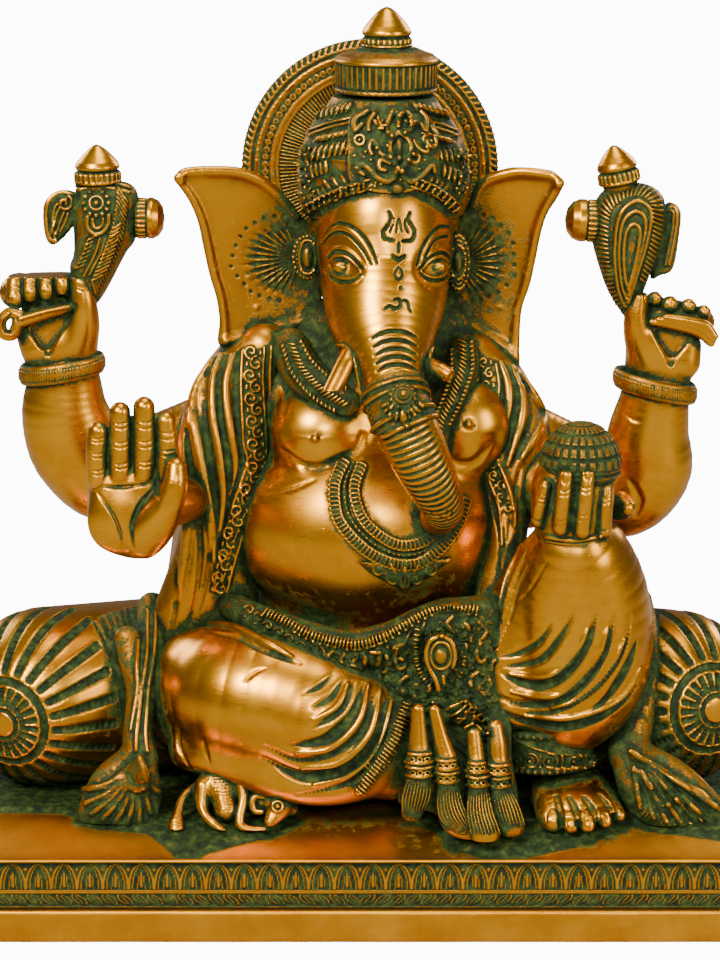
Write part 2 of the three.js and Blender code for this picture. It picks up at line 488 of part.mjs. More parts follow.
function bolster(side) {
  const at = [side * BOLSTER.x, BOLSTER.y, BOLSTER.z];
  const axis = [side * 0.5, -0.86, 0.1];
  const roll = limb([
    [side * (BOLSTER.x - 14), BOLSTER.y + 14, BOLSTER.z, 46], [side * 70, 30, BOLSTER.z, 42],
  ], { face: UP, sides: 24, steps: 4, blunt: 0.3 });
  const outside = turned(BOLSTER_PROFILE, at, axis, { fine: 32 }).add(roll);
  const inside = ellipsoid([side * 136, 10, BOLSTER.z], [46, 30, 38], { turn: [0, 0, side * -20], fine: 16 });
  const vent = spigot({ from: [side * 136, 8, DECK_Z - 6], to: [side * 136, 8, DECK_Z + 30], r: 12 });
  return outside.subtract(inside).subtract(vent).subtract(box([-300, -200, -50], [300, 200, DECK_Z + 0.4]));
}
const TIES = {
  left: [[-92, 2, 140, 13, 6], [-99, -24, 128, 12, 8], [-105, -40, 104, 10, 8], [-106, -52, 82, 12, 9], [-110, -62, 60, 18, 9]],
  right: [[132, -8, 140, 6, 6], [138, -34, 110, 7, 7], [142, -44, 84, 10, 9], [146, -56, 68, 15, 9], [150, -64, 58, 18, 8]],
};
for (const [name, side] of [["left", -1], ["right", 1]]) {
  place(`tied_cloth_${name}`, "aged", limb(TIES[name], { sides: 16, steps: 10 })
    .subtract(box([-300, -200, -50], [300, 200, DECK_Z + 0.4])));
  place(`bolster_${name}`, "brass", bolster(side));
}

export default statue;
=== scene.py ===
"""Looks of a cast brass statuette: a seated elephant-headed deity on a plinth, polished over green patina.

Each casting is sculpted as clay: signed distances on a grid, in millimetres, that solids join or cut.
The clay becomes a mesh, and a patina value is stored on each vertex from how sheltered that spot is.
Drawings are laid on the clay through a drawing board: a plane that faces the sight point, where x is to the
right and h is up, in millimetres, both from AIM. A drawn point lands on the clay along the line of sight.
"""
import math

import bpy
import numpy as np
import openvdb as vdb
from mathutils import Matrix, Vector


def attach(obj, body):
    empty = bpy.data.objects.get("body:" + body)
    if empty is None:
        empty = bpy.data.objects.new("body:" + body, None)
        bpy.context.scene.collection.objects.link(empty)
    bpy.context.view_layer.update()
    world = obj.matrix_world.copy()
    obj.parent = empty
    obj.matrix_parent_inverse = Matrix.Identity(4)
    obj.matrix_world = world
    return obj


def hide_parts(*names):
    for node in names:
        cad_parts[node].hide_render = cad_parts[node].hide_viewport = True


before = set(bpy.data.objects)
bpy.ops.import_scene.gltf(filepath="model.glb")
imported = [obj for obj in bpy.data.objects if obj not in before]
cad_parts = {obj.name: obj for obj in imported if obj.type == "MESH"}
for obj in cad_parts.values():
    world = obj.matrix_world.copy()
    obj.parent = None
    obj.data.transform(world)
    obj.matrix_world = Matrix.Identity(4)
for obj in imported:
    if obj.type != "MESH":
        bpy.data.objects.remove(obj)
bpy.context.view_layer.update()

MM = 0.001
AIM = np.array([0.0, 0.0, 202.776])
SIGHT = np.array([0.0, -1656.43, 585.20])
FORWARD = (AIM - SIGHT) / np.linalg.norm(AIM - SIGHT)
RIGHT = np.array([1.0, 0.0, 0.0])
RISE = np.cross(RIGHT, FORWARD)
FAR = 10.0
FOREMOST, REARMOST = -130.0, 60.0  # the depths between which drawings land
SLAB_EDGE = 0.5
FRONT = (0, -1, 0)
UP = (0, 0, 1)
DECK = 50.0


# ---------- curves ----------
def unit(v):
    v = np.asarray(v, float)
    return v / np.linalg.norm(v)


def spline(stops, count):
    """Evenly spaced points on a smooth curve through the stops, whatever number of columns they have."""
    p = np.asarray(stops, float)
    if len(p) == 2:
        return p[0] + (p[1] - p[0]) * np.linspace(0, 1, count)[:, None]
    ends = np.vstack([2 * p[0] - p[1], p, 2 * p[-1] - p[-2]])
    fine = []
    for a, b, c, d in zip(ends[:-3], ends[1:-2], ends[2:-1], ends[3:]):
        t = np.linspace(0, 1, 16, endpoint=False)[:, None]
        fine.append(0.5 * (2 * b + (c - a) * t + (2 * a - 5 * b + 4 * c - d) * t**2
                           + (3 * b - 3 * c + d - a) * t**3))
    fine = np.vstack(fine + [p[-1:]])
    return resample(fine, count)


def resample(points, count):
    dims = min(3, points.shape[1])
    step = np.linalg.norm(np.diff(points[:, :dims], axis=0), axis=1)
    at = np.concatenate([[0], np.cumsum(step)])
    where = np.linspace(0, at[-1], count)
    return np.stack([np.interp(where, at, points[:, i]) for i in range(points.shape[1])], 1)


def length_of(points):
    return float(np.linalg.norm(np.diff(np.asarray(points, float)[:, :3], axis=0), axis=1).sum())


def spiral(centre, radius, turns=1.3, start=0.0, hand=1, count=26):
    """A drawn scroll that winds in to its centre."""
    t = np.linspace(0, 1, count)
    r = radius * (1 - 0.82 * t)
    a = math.radians(start) + hand * t * turns * 2 * math.pi
    return np.stack([centre[0] + r * np.cos(a), centre[1] + r * np.sin(a)], 1)


def smoothstep(low, high, v):
    t = np.clip((v - low) / (high - low), 0, 1)
    return t * t * (3 - 2 * t)


# ---------- clay ----------
def soft_min(a, b, k):
    if k <= 0:
        return np.minimum(a, b)
    h = np.maximum(k - np.abs(a - b), 0) / k
    return np.minimum(a, b) - h * h * k / 4


class Clay:
    """Signed distances on a grid: negative inside the solid."""

    def __init__(self, low, high, step):
        self.low = np.asarray(low, np.float32)
        self.step = step
        self.count = np.ceil((np.asarray(high) - self.low) / step).astype(int) + 1
        self.d = np.full(self.count, FAR, np.float32)
        self.base = self  # the clay that drawings land on

    def window(self, low, high):
        a = np.maximum(np.floor((np.asarray(low) - self.low) / self.step).astype(int), 0)
        b = np.minimum(np.ceil((np.asarray(high) - self.low) / self.step).astype(int) + 1, self.count)
        if (b <= a).any():
            return None
        axes = [(self.low[i] + self.step * np.arange(a[i], b[i])).astype(np.float32) for i in range(3)]
        return tuple(slice(*s) for s in zip(a, b)), np.meshgrid(*axes, indexing="ij", sparse=True)

    def merge(self, where, d, soft, cut):
        old = self.d[where]
        self.d[where] = -soft_min(-old, d, soft) if cut else soft_min(old, d, soft)

    def bar(self, stops, soft=1.0, thin=FRONT):
        """A rounded bar on a smooth curve: each stop is x, y, z, half width and, if flat, half thickness."""
        p = np.asarray([tuple(s) + ((s[3],) if len(s) == 4 else ()) for s in stops], float)
        count = int(np.clip(length_of(p) / max(p[:, 3].mean() * 0.2, self.step), 3, 60))
        self.chain(spline(p, count), soft, thin=thin)

    def chain(self, p, soft=0.5, cut=False, thin=FRONT):
        p = np.asarray(p, float)
        if p.shape[1] == 4:
            p = np.hstack([p, p[:, 3:4]])
        n = unit(thin)
        pad = soft + 3.0
        r = p[:, 3:5].max(1)[:, None] + pad
        got = self.window((p[:, :3] - r).min(0), (p[:, :3] + r).max(0))
        if got is None:
            return
        whole = got[0]
        field = np.full([s.stop - s.start for s in whole], FAR, np.float32)
        for a, b, ra, rb in zip(p[:-1], p[1:], r[:-1], r[1:]):
            part = self.window(np.minimum(a[:3] - ra, b[:3] - rb), np.maximum(a[:3] + ra, b[:3] + rb))
            if part is None:
                continue
            where, (x, y, z) = part
            local = tuple(slice(s.start - w.start, s.stop - w.start) for s, w in zip(where, whole))
            field[local] = np.minimum(field[local], bar_distance(a, b, n, x, y, z))
        self.merge(whole, field, soft, cut)

    def ball(self, at, radius, soft=0.3, cut=False):
        self.blob(at, (radius,) * 3, soft=soft, cut=cut)

    def blob(self, at, radii, turn=(0, 0, 0), soft=1.0, cut=False):
        """An ellipsoid, turned by degrees about X, Y and Z."""
        at, radii = np.asarray(at, float), np.asarray(radii, float)
        reach = radii.max() + soft + 3.0
        got = self.window(at - reach, at + reach)
        if got is None:
            return
        where, (x, y, z) = got
        m = turning(turn)
        q = [(x - at[0]) * m[0, i] + (y - at[1]) * m[1, i] + (z - at[2]) * m[2, i] for i in range(3)]
        k0 = np.sqrt(sum((q[i] / radii[i]) ** 2 for i in range(3)))
        k1 = np.sqrt(sum((q[i] / radii[i] ** 2) ** 2 for i in range(3))) + 1e-6
        self.merge(where, np.maximum(k0 * (k0 - 1) / k1, -radii.min()).astype(np.float32), soft, cut)

    def turned(self, profile, at, axis=UP, soft=0.3, waves=None):
        """A turned solid: profile is [height, radius], and waves(angle, height) raises its surface."""
        heights, radii = np.asarray(profile, float).T
        reach = max(radii.max() + 2, abs(heights).max()) + soft + 3
        got = self.window(np.asarray(at) - reach, np.asarray(at) + reach)
        if got is None:
            return
        where, (x, y, z) = got
        n = unit(axis)
        side = unit(np.cross(n, (0.0, 1.0, 0.0) if abs(n[1]) < 0.9 else (1.0, 0.0, 0.0)))
        other = np.cross(n, side)
        q = [(x - at[0]) * v[0] + (y - at[1]) * v[1] + (z - at[2]) * v[2] for v in (n, side, other)]
        rho = np.sqrt(q[1] ** 2 + q[2] ** 2)
        fine = np.linspace(heights[0], heights[-1], 160)
        wall = np.interp(fine, heights, radii)
        tilt = 1 / np.sqrt(1 + np.gradient(wall, fine) ** 2)
        r = np.interp(q[0], fine, wall)
        if waves is not None:
            r = r + waves(np.arctan2(q[2], q[1]), q[0])
        d = (rho - r) * np.interp(q[0], fine, tilt)
        d = np.maximum(d, np.maximum(heights[0] - q[0], q[0] - heights[-1]))
        self.merge(where, d.astype(np.float32), soft, False)

    def slab(self, low, high, cut=False):
        low, high = np.asarray(low, float), np.asarray(high, float)
        got = self.window(low - SLAB_EDGE - 3, high + SLAB_EDGE + 3)
        if got is None:
            return
        where, (x, y, z) = got
        d = [np.maximum(low[i] - a, a - high[i]) for i, a in enumerate((x, y, z))]
        outside = np.sqrt(sum(np.maximum(v, 0) ** 2 for v in d))
        inside = np.minimum(np.maximum(np.maximum(d[0], d[1]), d[2]), 0)
        self.merge(where, (outside + inside).astype(np.float32), SLAB_EDGE, cut)

    def plate(self, outline, middle, half, soft=0.5, cut=False, edge=1.5, swell=0.0):
        """A plate with a drawn outline [x, z]; middle and half are numbers or functions of x and z.

        With swell the plate thins towards its edge over that distance, like a pillow.
        """
        outline = np.asarray(outline, float)
        reach = np.array([3.0, 0, 3.0]) + soft
        low = np.array([outline[:, 0].min(), -999, outline[:, 1].min()]) - reach
        high = np.array([outline[:, 0].max(), 999, outline[:, 1].max()]) + reach
        got = self.window(low, high)
        if got is None:
            return
        where, (x, y, z) = got
        flat = polygon_distance(outline, x[:, 0, 0], z[0, 0, :])[:, None, :]
        mid = middle(x, z) if callable(middle) else middle
        thick = half(x, z) if callable(half) else half
        if swell:
            thick = thick * np.sqrt(np.clip(1 - (1 - np.clip(-flat / swell, 0, 1)) ** 2, 0.0, 1))
        a, b = flat + edge, np.abs(y - mid) - thick + edge
        d = np.sqrt(np.maximum(a, 0) ** 2 + np.maximum(b, 0) ** 2) + np.minimum(np.maximum(a, b), 0) - edge
        self.merge(where, d.astype(np.float32), soft, cut)

    def stitches(self, line, half, pitch, radius, slant=90.0, lift=0.3, side=0.0):
        """Short strokes across a drawn line: half their length, their pitch and their angle with it."""
        fine = spline(np.asarray(line, float)[:, :2], 80)
        count = max(int(length_of(np.hstack([fine, fine[:, :1] * 0])) / pitch), 2)
        at = resample(fine, count)
        way = np.gradient(at, axis=0)
        way /= np.linalg.norm(way, axis=1, keepdims=True)
        c, s = math.cos(math.radians(slant)), math.sin(math.radians(slant))
        across = np.stack([way[:, 0] * c - way[:, 1] * s, way[:, 0] * s + way[:, 1] * c], 1)
        halves = np.interp(np.linspace(0, 1, count), np.linspace(0, 1, np.size(half)), np.atleast_1d(half))
        for p, n, h in zip(at, across, halves):
            self.draw([p + n * h * (side - 1), p + n * h * (side + 1)], radius, lift, 0.25, taper=0.3)

    def ring(self, at, radius, wire, lift=0.2, squash=1.0):
        """A drawn circle or oval as a cord."""
        a = np.linspace(0, 2 * math.pi, max(int(radius * 5), 10))
        line = np.stack([at[0] + radius * np.cos(a), at[1] + radius * squash * np.sin(a)], 1)
        spots, _ = self.land(line)
        if len(spots) > 1:
            spots = spots + self.base.normals(spots, 1.2) * lift
            self.chain(np.column_stack([spots, np.full(len(spots), wire)]), 0.25)

    def stud(self, at, radius, lift=0.3, cut=False):
        spots, _ = self.land([at])
        for spot in spots + self.base.normals(spots, 1.2) * lift if len(spots) else []:
            self.ball(spot, radius, 0.3, cut)

    def raise_by(self, low, high, amount):
        """Moves the surface out by amount(x, y, z) millimetres inside a box."""
        got = self.window(low, high)
        if got is not None:
            where, (x, y, z) = got
            self.d[where] -= amount(x, y, z).astype(np.float32)

    def sample(self, p):
        q = (np.asarray(p, np.float32) - self.low) / self.step
        i = np.floor(q).astype(int)
        off = ((i < 0) | (i > self.count - 2)).any(1)
        i = np.clip(i, 0, self.count - 2)
        f = np.clip(q - i, 0, 1).astype(np.float32)
        flat = self.d.reshape(-1)
        sy, sx = int(self.count[2]), int(self.count[1] * self.count[2])
        base = i[:, 0] * sx + i[:, 1] * sy + i[:, 2]
        out = np.zeros(len(q), np.float32)
        for dx in (0, 1):
            for dy in (0, 1):
                for dz in (0, 1):
                    w = (f[:, 0] if dx else 1 - f[:, 0]) * (f[:, 1] if dy else 1 - f[:, 1]) * (f[:,
                        2] if dz else 1 - f[:, 2])
                    out += w * flat[base + dx * sx + dy * sy + dz]
        out[off] = FAR
        return out

    def normals(self, p, h=None):
        h = h or self.step
        axes = np.eye(3) * h
        g = np.stack([self.sample(p + a) - self.sample(p - a) for a in axes], 1)
        return g / np.maximum(np.linalg.norm(g, axis=1, keepdims=True), 1e-6)

    def land(self, drawn):
        """Where drawn [x, h] points land on the clay's first surface, and which of them hit it."""
        drawn = np.asarray(drawn, float)[:, :2]
        board = AIM + drawn[:, :1] * RIGHT + drawn[:, 1:2] * RISE
        way = board - SIGHT
        back = self.base.low[1] + self.base.step * self.base.count[1]
        near, far = max(FOREMOST, float(self.base.low[1])), min(REARMOST, float(back))
        depth = np.arange(near, far, self.base.step * 0.7)
        t = (depth[None, :] - SIGHT[1]) / way[:, 1:2]
        p = SIGHT + way[:, None, :] * t[:, :, None]
        d = self.base.sample(p.reshape(-1, 3)).reshape(len(drawn), -1)
        inside = d < 0
        hit = inside.any(1)
        k = np.maximum(inside.argmax(1), 1)
        row = np.arange(len(drawn))
        before, after = d[row, k - 1], d[row, k]
        share = np.clip(before / np.maximum(before - after, 1e-6), 0, 1)
        spot = p[row, k - 1] + (p[row, k] - p[row, k - 1]) * share[:, None]
        return spot[hit], hit

    def behind(self, line):
        """Where an [x, z] line lies on the back of the clay."""
        line = np.asarray(line, float)
        back = self.low[1] + self.step * (self.count[1] - 2)
        depth = np.arange(back, 0, -self.step * 0.5)
        p = np.stack(np.broadcast_arrays(line[:, :1], depth[None, :], line[:, 1:2]), 2)
        inside = self.base.sample(p.reshape(-1, 3)).reshape(len(line), -1) < 0
        hit = inside.any(1)
        return p[np.arange(len(line)), inside.argmax(1)][hit]

    def fold(self, line, radius, soft=1.5, cut=False, taper=0.5, sink=0.0):
        """A ridge, or a groove with cut, along an [x, z] line on the back."""
        spots = self.behind(line)
        if len(spots) > 1:
            t = np.linspace(-1, 1, len(spots))
            width = radius * (1 - taper * t ** 2)
            self.chain(np.column_stack([spots - (0, sink, 0), width]), soft, cut)

    def draw(self, stops, radius, lift=0.0, soft=0.3, cut=False, taper=0.0):
        """A drawn line as a cord, or as a groove with cut, whose middle stands lift above the surface."""
        stops = np.asarray(stops, float)
        count = int(max(length_of(np.hstack([stops[:, :2], stops[:, :1] * 0])) / 1.2, 4))
        spots, _ = self.land(spline(stops, count))
        if len(spots) < 2:
            return
        if lift:
            spots = spots + self.base.normals(spots, 1.2) * lift
        t = np.linspace(0, 1, len(spots))
        width = radius * (1 - taper * np.abs(2 * t - 1) ** 2)
        self.chain(np.hstack([spots, width[:, None]]), soft, cut)

    def beads(self, stops, radius, pitch, lift=0.0):
        """A drawn line as a row of beads."""
        stops = np.asarray(stops, float)
        fine = spline(stops, 60)
        count = max(int(length_of(np.hstack([fine[:, :2], fine[:, :1] * 0])) / pitch), 2)
        spots, _ = self.land(spline(stops, count))
        if lift and len(spots):
            spots = spots + self.base.normals(spots, 1.2) * lift
        for spot in spots:
            self.ball(spot, radius, 0.2)


def polygon_distance(outline, xs, zs):
    """Signed distance in the plane from every (x, z) to a closed outline, negative inside."""
    x, z = np.meshgrid(xs, zs, indexing="ij")
    near = np.full(x.shape, 1e9)
    inside = np.zeros(x.shape, bool)
    for (ax, az), (bx, bz) in zip(outline, np.roll(outline, -1, axis=0)):
        ex, ez = bx - ax, bz - az
        t = np.clip(((x - ax) * ex + (z - az) * ez) / max(ex * ex + ez * ez, 1e-9), 0, 1)
        near = np.minimum(near, (x - ax - t * ex) ** 2 + (z - az - t * ez) ** 2)
        crosses = (az > z) != (bz > z)
        inside ^= crosses & (x < ex * (z - az) / (ez if abs(ez) > 1e-9 else 1e-9) + ax)
    return np.sqrt(near) * np.where(inside, -1, 1)


def at_depth(drawn, y):
    """The [x, z] of drawn points seen at a depth y."""
    drawn = np.asarray(drawn, float)
    way = AIM + drawn[:, :1] * RIGHT + drawn[:, 1:2] * RISE - SIGHT
    p = SIGHT + way * ((y - SIGHT[1]) / way[:, 1:2])
    return p[:, [0, 2]]


def at_height(drawn, z):
    """The [x, y] of drawn points seen on a level at height z."""
    drawn = np.asarray(drawn, float)
    way = AIM + drawn[:, :1] * RIGHT + drawn[:, 1:2] * RISE - SIGHT
    return (SIGHT + way * ((z - SIGHT[2]) / way[:, 2:]))[:, :2]


def closed(points, y, count=90):
    """A smooth closed outline through drawn points, at a depth y."""
    points = np.asarray(points, float)
    loop = spline(np.vstack([points[-1:], points, points[:2]]), count * 2)
    start = np.argmin(np.linalg.norm(loop - points[0], axis=1)[:count])
    lead = np.linalg.norm(loop - points[0], axis=1)
    end = len(loop) - 1 - np.argmin(lead[::-1][:count])
    return at_depth(resample(loop[start:end + 1], count)[:-1], y)


def on_board(p):
    """The drawn x and h where points in space are seen."""
    way = p - SIGHT
    scale = np.linalg.norm(AIM - SIGHT) / (way @ FORWARD)
    return way @ RIGHT * scale, way @ RISE * scale


def painted(strokes, behind=20.0):
    """A stain that has settled along drawn strokes of (line, half width), as far back as behind."""
    lines = [(resample(spline(line, 60), 36), radius) for line, radius in strokes]
    narrow = 0.8 - 0.8 * np.abs(np.linspace(-1, 1, 36)) ** 1.7

    def stain(p):
        x, h = on_board(p)
        value = np.zeros(len(p))
        for line, radius in lines:
            d = np.hypot(x[:, None] - line[:, 0], h[:, None] - line[:, 1]) - radius * narrow
            value = np.maximum(value, smoothstep(0.7, -0.6, d.min(1)))
        return 0.85 * value * (p[:, 1] < behind)

    return stain


def filigree(c, outline, pitch, radius, lift, seed):
    """Fills a drawn outline with small scrolls at scattered spots."""
    scatter = np.random.default_rng(seed)
    outline = np.asarray(outline, float)
    low, high = outline.min(0), outline.max(0)
    for i, x in enumerate(np.arange(low[0], high[0], pitch * 0.9)):
        for h in np.arange(low[1] + (i % 2) * pitch / 2, high[1], pitch):
            at = np.array([x, h]) + scatter.uniform(-0.16, 0.16, 2) * pitch
            if polygon_distance(outline, [at[0]], [at[1]])[0, 0] > -pitch * 0.35:
                continue
            start, hand = scatter.uniform(0, 360), scatter.choice((-1, 1))
            c.draw(spiral(at, pitch * 0.44, 1.05, start, hand, 12), radius, lift, soft=0.3, taper=0.3)


def turning(degrees):
    rx, ry, rz = np.radians(degrees)
    mx = np.array([[1, 0, 0], [0, math.cos(rx), -math.sin(rx)], [0, math.sin(rx), math.cos(rx)]])
    my = np.array([[math.cos(ry), 0, math.sin(ry)], [0, 1, 0], [-math.sin(ry), 0, math.cos(ry)]])
    mz = np.array([[math.cos(rz), -math.sin(rz), 0], [math.sin(rz), math.cos(rz), 0], [0, 0, 1]])
    return mz @ my @ mx


def bar_distance(a, b, n, x, y, z):
    ab = b[:3] - a[:3]
    t = ((x - a[0]) * ab[0] + (y - a[1]) * ab[1] + (z - a[2]) * ab[2]) / max(float(ab @ ab), 1e-6)
    t = np.clip(t, 0, 1)
    q = [v - a[i] - t * ab[i] for i, v in enumerate((x, y, z))]
    wide = a[3] + (b[3] - a[3]) * t
    if abs(a[3] - a[4]) + abs(b[3] - b[4]) < 1e-6:
        return np.sqrt(q[0] ** 2 + q[1] ** 2 + q[2] ** 2) - wide
    f = wide / (a[4] + (b[4] - a[4]) * t)
    dot = q[0] * n[0] + q[1] * n[1] + q[2] * n[2]
    l = np.sqrt(sum((q[i] + (f - 1) * dot * n[i]) ** 2 for i in range(3))) + 1e-6
    return (l - wide) / np.sqrt(1 + (f * f - 1) * (f * dot / l) ** 2)


# ---------- meshes ----------
pieces = []  # (object, clay or None, stain)


def mesh_object(name, points, faces):
    mesh = bpy.data.meshes.new(name)
    mesh.vertices.add(len(points))
    mesh.vertices.foreach_set("co", (np.asarray(points, np.float32) * MM).reshape(-1))
    faces = np.asarray(faces, np.int32)
    sides = faces.shape[1]
    mesh.loops.add(faces.size)
    mesh.loops.foreach_set("vertex_index", faces.reshape(-1))
    mesh.polygons.add(len(faces))
    mesh.polygons.foreach_set("loop_start", np.arange(len(faces), dtype=np.int32) * sides)
    mesh.polygons.foreach_set("use_smooth", np.ones(len(faces), bool))
    mesh.update(calc_edges=True)
    mesh.validate()
    obj = bpy.data.objects.new(name, mesh)
    bpy.context.scene.collection.objects.link(obj)
    return obj


def cast(name, clay, stain=0.0):
    """The clay as a brass piece that stands for the CAD node of that name."""
    d = clay.d
    for axis in range(3):
        for end in (0, -1):
            rim = [slice(None)] * 3
            rim[axis] = end
            d[tuple(rim)] = np.maximum(d[tuple(rim)], 0.3)
    grid = vdb.FloatGrid()
    grid.background = FAR
    grid.copyFromArray(np.ascontiguousarray(d))
    points, quads = grid.convertToQuads(isovalue=0.0)
    points = np.asarray(points, np.float64) * clay.step + clay.low
    if callable(stain):
        stain = stain(points)
    finish_piece(mesh_object(name, points, np.asarray(quads)), clay, name, stain)


def finish_piece(obj, clay, name, stain=0.0):
    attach(obj, "root")
    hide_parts(name)
    pieces.append((obj, clay, stain))


# ---------- torso ----------
def swag(middle, ends, half=62.0):
    """An [x, z] line that hangs between the shoulders."""
    u = np.linspace(-1, 1, 60)
    return np.stack([6 + half * u, middle + (ends - middle) * np.abs(u) ** 1.8], 1)


def drape_back(c):
    """The shawl hangs across the back in swags, over the gathers of the waistcloth."""
    for k in range(8):
        middle, ends = 236 - 12.5 * k, 262 - 9.0 * k
        c.fold(swag(middle, ends), 2.6, soft=2.5, sink=1.0)
        c.fold(swag(middle - 6, ends - 4.5), 2.0, soft=1.6, cut=True, taper=0.7)
    for shift, radius in ((0, 1.0), (-8.5, 0.9)):
        c.fold(swag(138 + shift, 196 + shift, 70), radius, soft=0.5, taper=0.0)
    for x, z in resample(swag(133.8, 191.8, 70), 34):
        t = np.linspace(0, 5.6, 10)
        curl = np.stack([x + (2.6 - 0.4 * t) * np.cos(t), z + (2.6 - 0.4 * t) * np.sin(t)], 1)
        c.fold(curl, 0.7, soft=0.4, taper=0.3)
    for k, x in enumerate(np.linspace(-66, 78, 25)):
        lean = 0.10 * (x - 6)
        length = 34 + 8 * math.sin(k * 2.3)
        line = [(x - lean * s, 118 - length * s + 4 * math.sin(k * 1.7)) for s in np.linspace(0, 1.6, 30)]
        c.fold(line, 1.5 + 0.4 * math.sin(k * 3.1), soft=1.2, cut=True, taper=0.8)
    c.fold(swag(121, 124, 74), 1.9, soft=1.0, taper=0.0)
    c.fold(swag(117, 120, 74), 1.2, soft=0.8, cut=True, taper=0.0)


def make_torso():
    c = Clay((-92, -70, DECK), (98, 68, 296), 0.9)
    c.blob((6, -2, 182), (70, 55, 53), soft=0)
    c.blob((8, 5, 234), (58, 34, 44), soft=12)
    c.blob((5, 8, 104), (76, 50, 58), soft=12)
    c.bar([(-58, 16, 64, 20, 18), (-30, 26, 62, 24, 18), (5, 30, 62, 26, 18), (40, 26, 62, 24, 18),
           (64, 16, 64, 20, 18)],
          soft=8, thin=UP)
    c.bar([(8, 2, 262, 26, 22), (11, -2, 306, 24, 22)], soft=12)
    c.bar([(-46, 8, 242, 20, 18), (-28, 8, 254, 18, 18)], soft=10)
    c.bar([(62, 8, 238, 20, 18), (46, 8, 250, 18, 18)], soft=10)
    c.bar([(-26, 10, 262, 15, 13), (-16, 8, 276, 15, 13), (12, 8, 282, 16, 14), (42, 8, 276, 15, 13),
           (56, 10, 260, 15, 13)], soft=6)
    c.blob((-18.4, -18, 230.7), (25, 22, 23), soft=7)
    c.blob((51.3, -16, 231.3), (23, 21, 25), soft=7)
    for line in (
        [(-38.2, 14.7), (-25.5, 6.4), (-15.7, 7.3), (-2, 14.7), (1.5, 22.5)],
        [(39.2, 16.7), (47, 8.8), (55.9, 8.8), (63.7, 16.7)],
    ):
        c.draw(line, 1.7, lift=0.3, soft=2.5, cut=True, taper=0.7)
    c.draw([(-47.5, -6.4), (-34.8, -4.9), (-22.5, 0)], 0.9, soft=0.8, cut=True, taper=0.8)
    c.draw([(-37.7, 52.9), (-35.3, 43.1), (-37.2, 33.3)], 1.3, soft=3, cut=True, taper=0.9)
    for nipple in ((-21.9, 20.5), (53.4, 27.2)):
        ring = [(nipple[0] + 2.7 * math.cos(a), nipple[1] + 2.7 * math.sin(a)) for a in np.linspace(0, 6.4,
            14)]
        c.draw(ring, 0.45, soft=0.3, cut=True)
        spots, _ = c.land([nipple])
        c.ball(spots[0], 1.7, soft=0.8)
    c.raise_by((-90, -70, 120), (92, 10, 232), lambda x, y,
               z: 0.25 * np.sin(x * 0.11 + 1) * np.sin(z * 0.13))
    drape_back(c)
    return c


# ---------- shawl ----------
def scroll_band(c, centre, width):
    """A row of scrolls that alternate from side to side along a drawn line."""
    fine = resample(spline(centre, 60),
                    max(int(length_of(np.pad(np.asarray(centre, float), ((0, 0), (0, 1)))) / 5.2), 2))
    for i, (x, h) in enumerate(fine):
        side = 1 if i % 2 else -1
        c.draw(spiral((x + side * width * 0.16, h), width * 0.42, 1.15, start=90 * side, hand=side,
                      count=14), 0.62, 0.5, soft=0.3)
        c.beads([(x - side * width * 0.36, h + 0.4), (x - side * width * 0.38, h - 0.8)], 0.75, 1.4,
                lift=0.4)


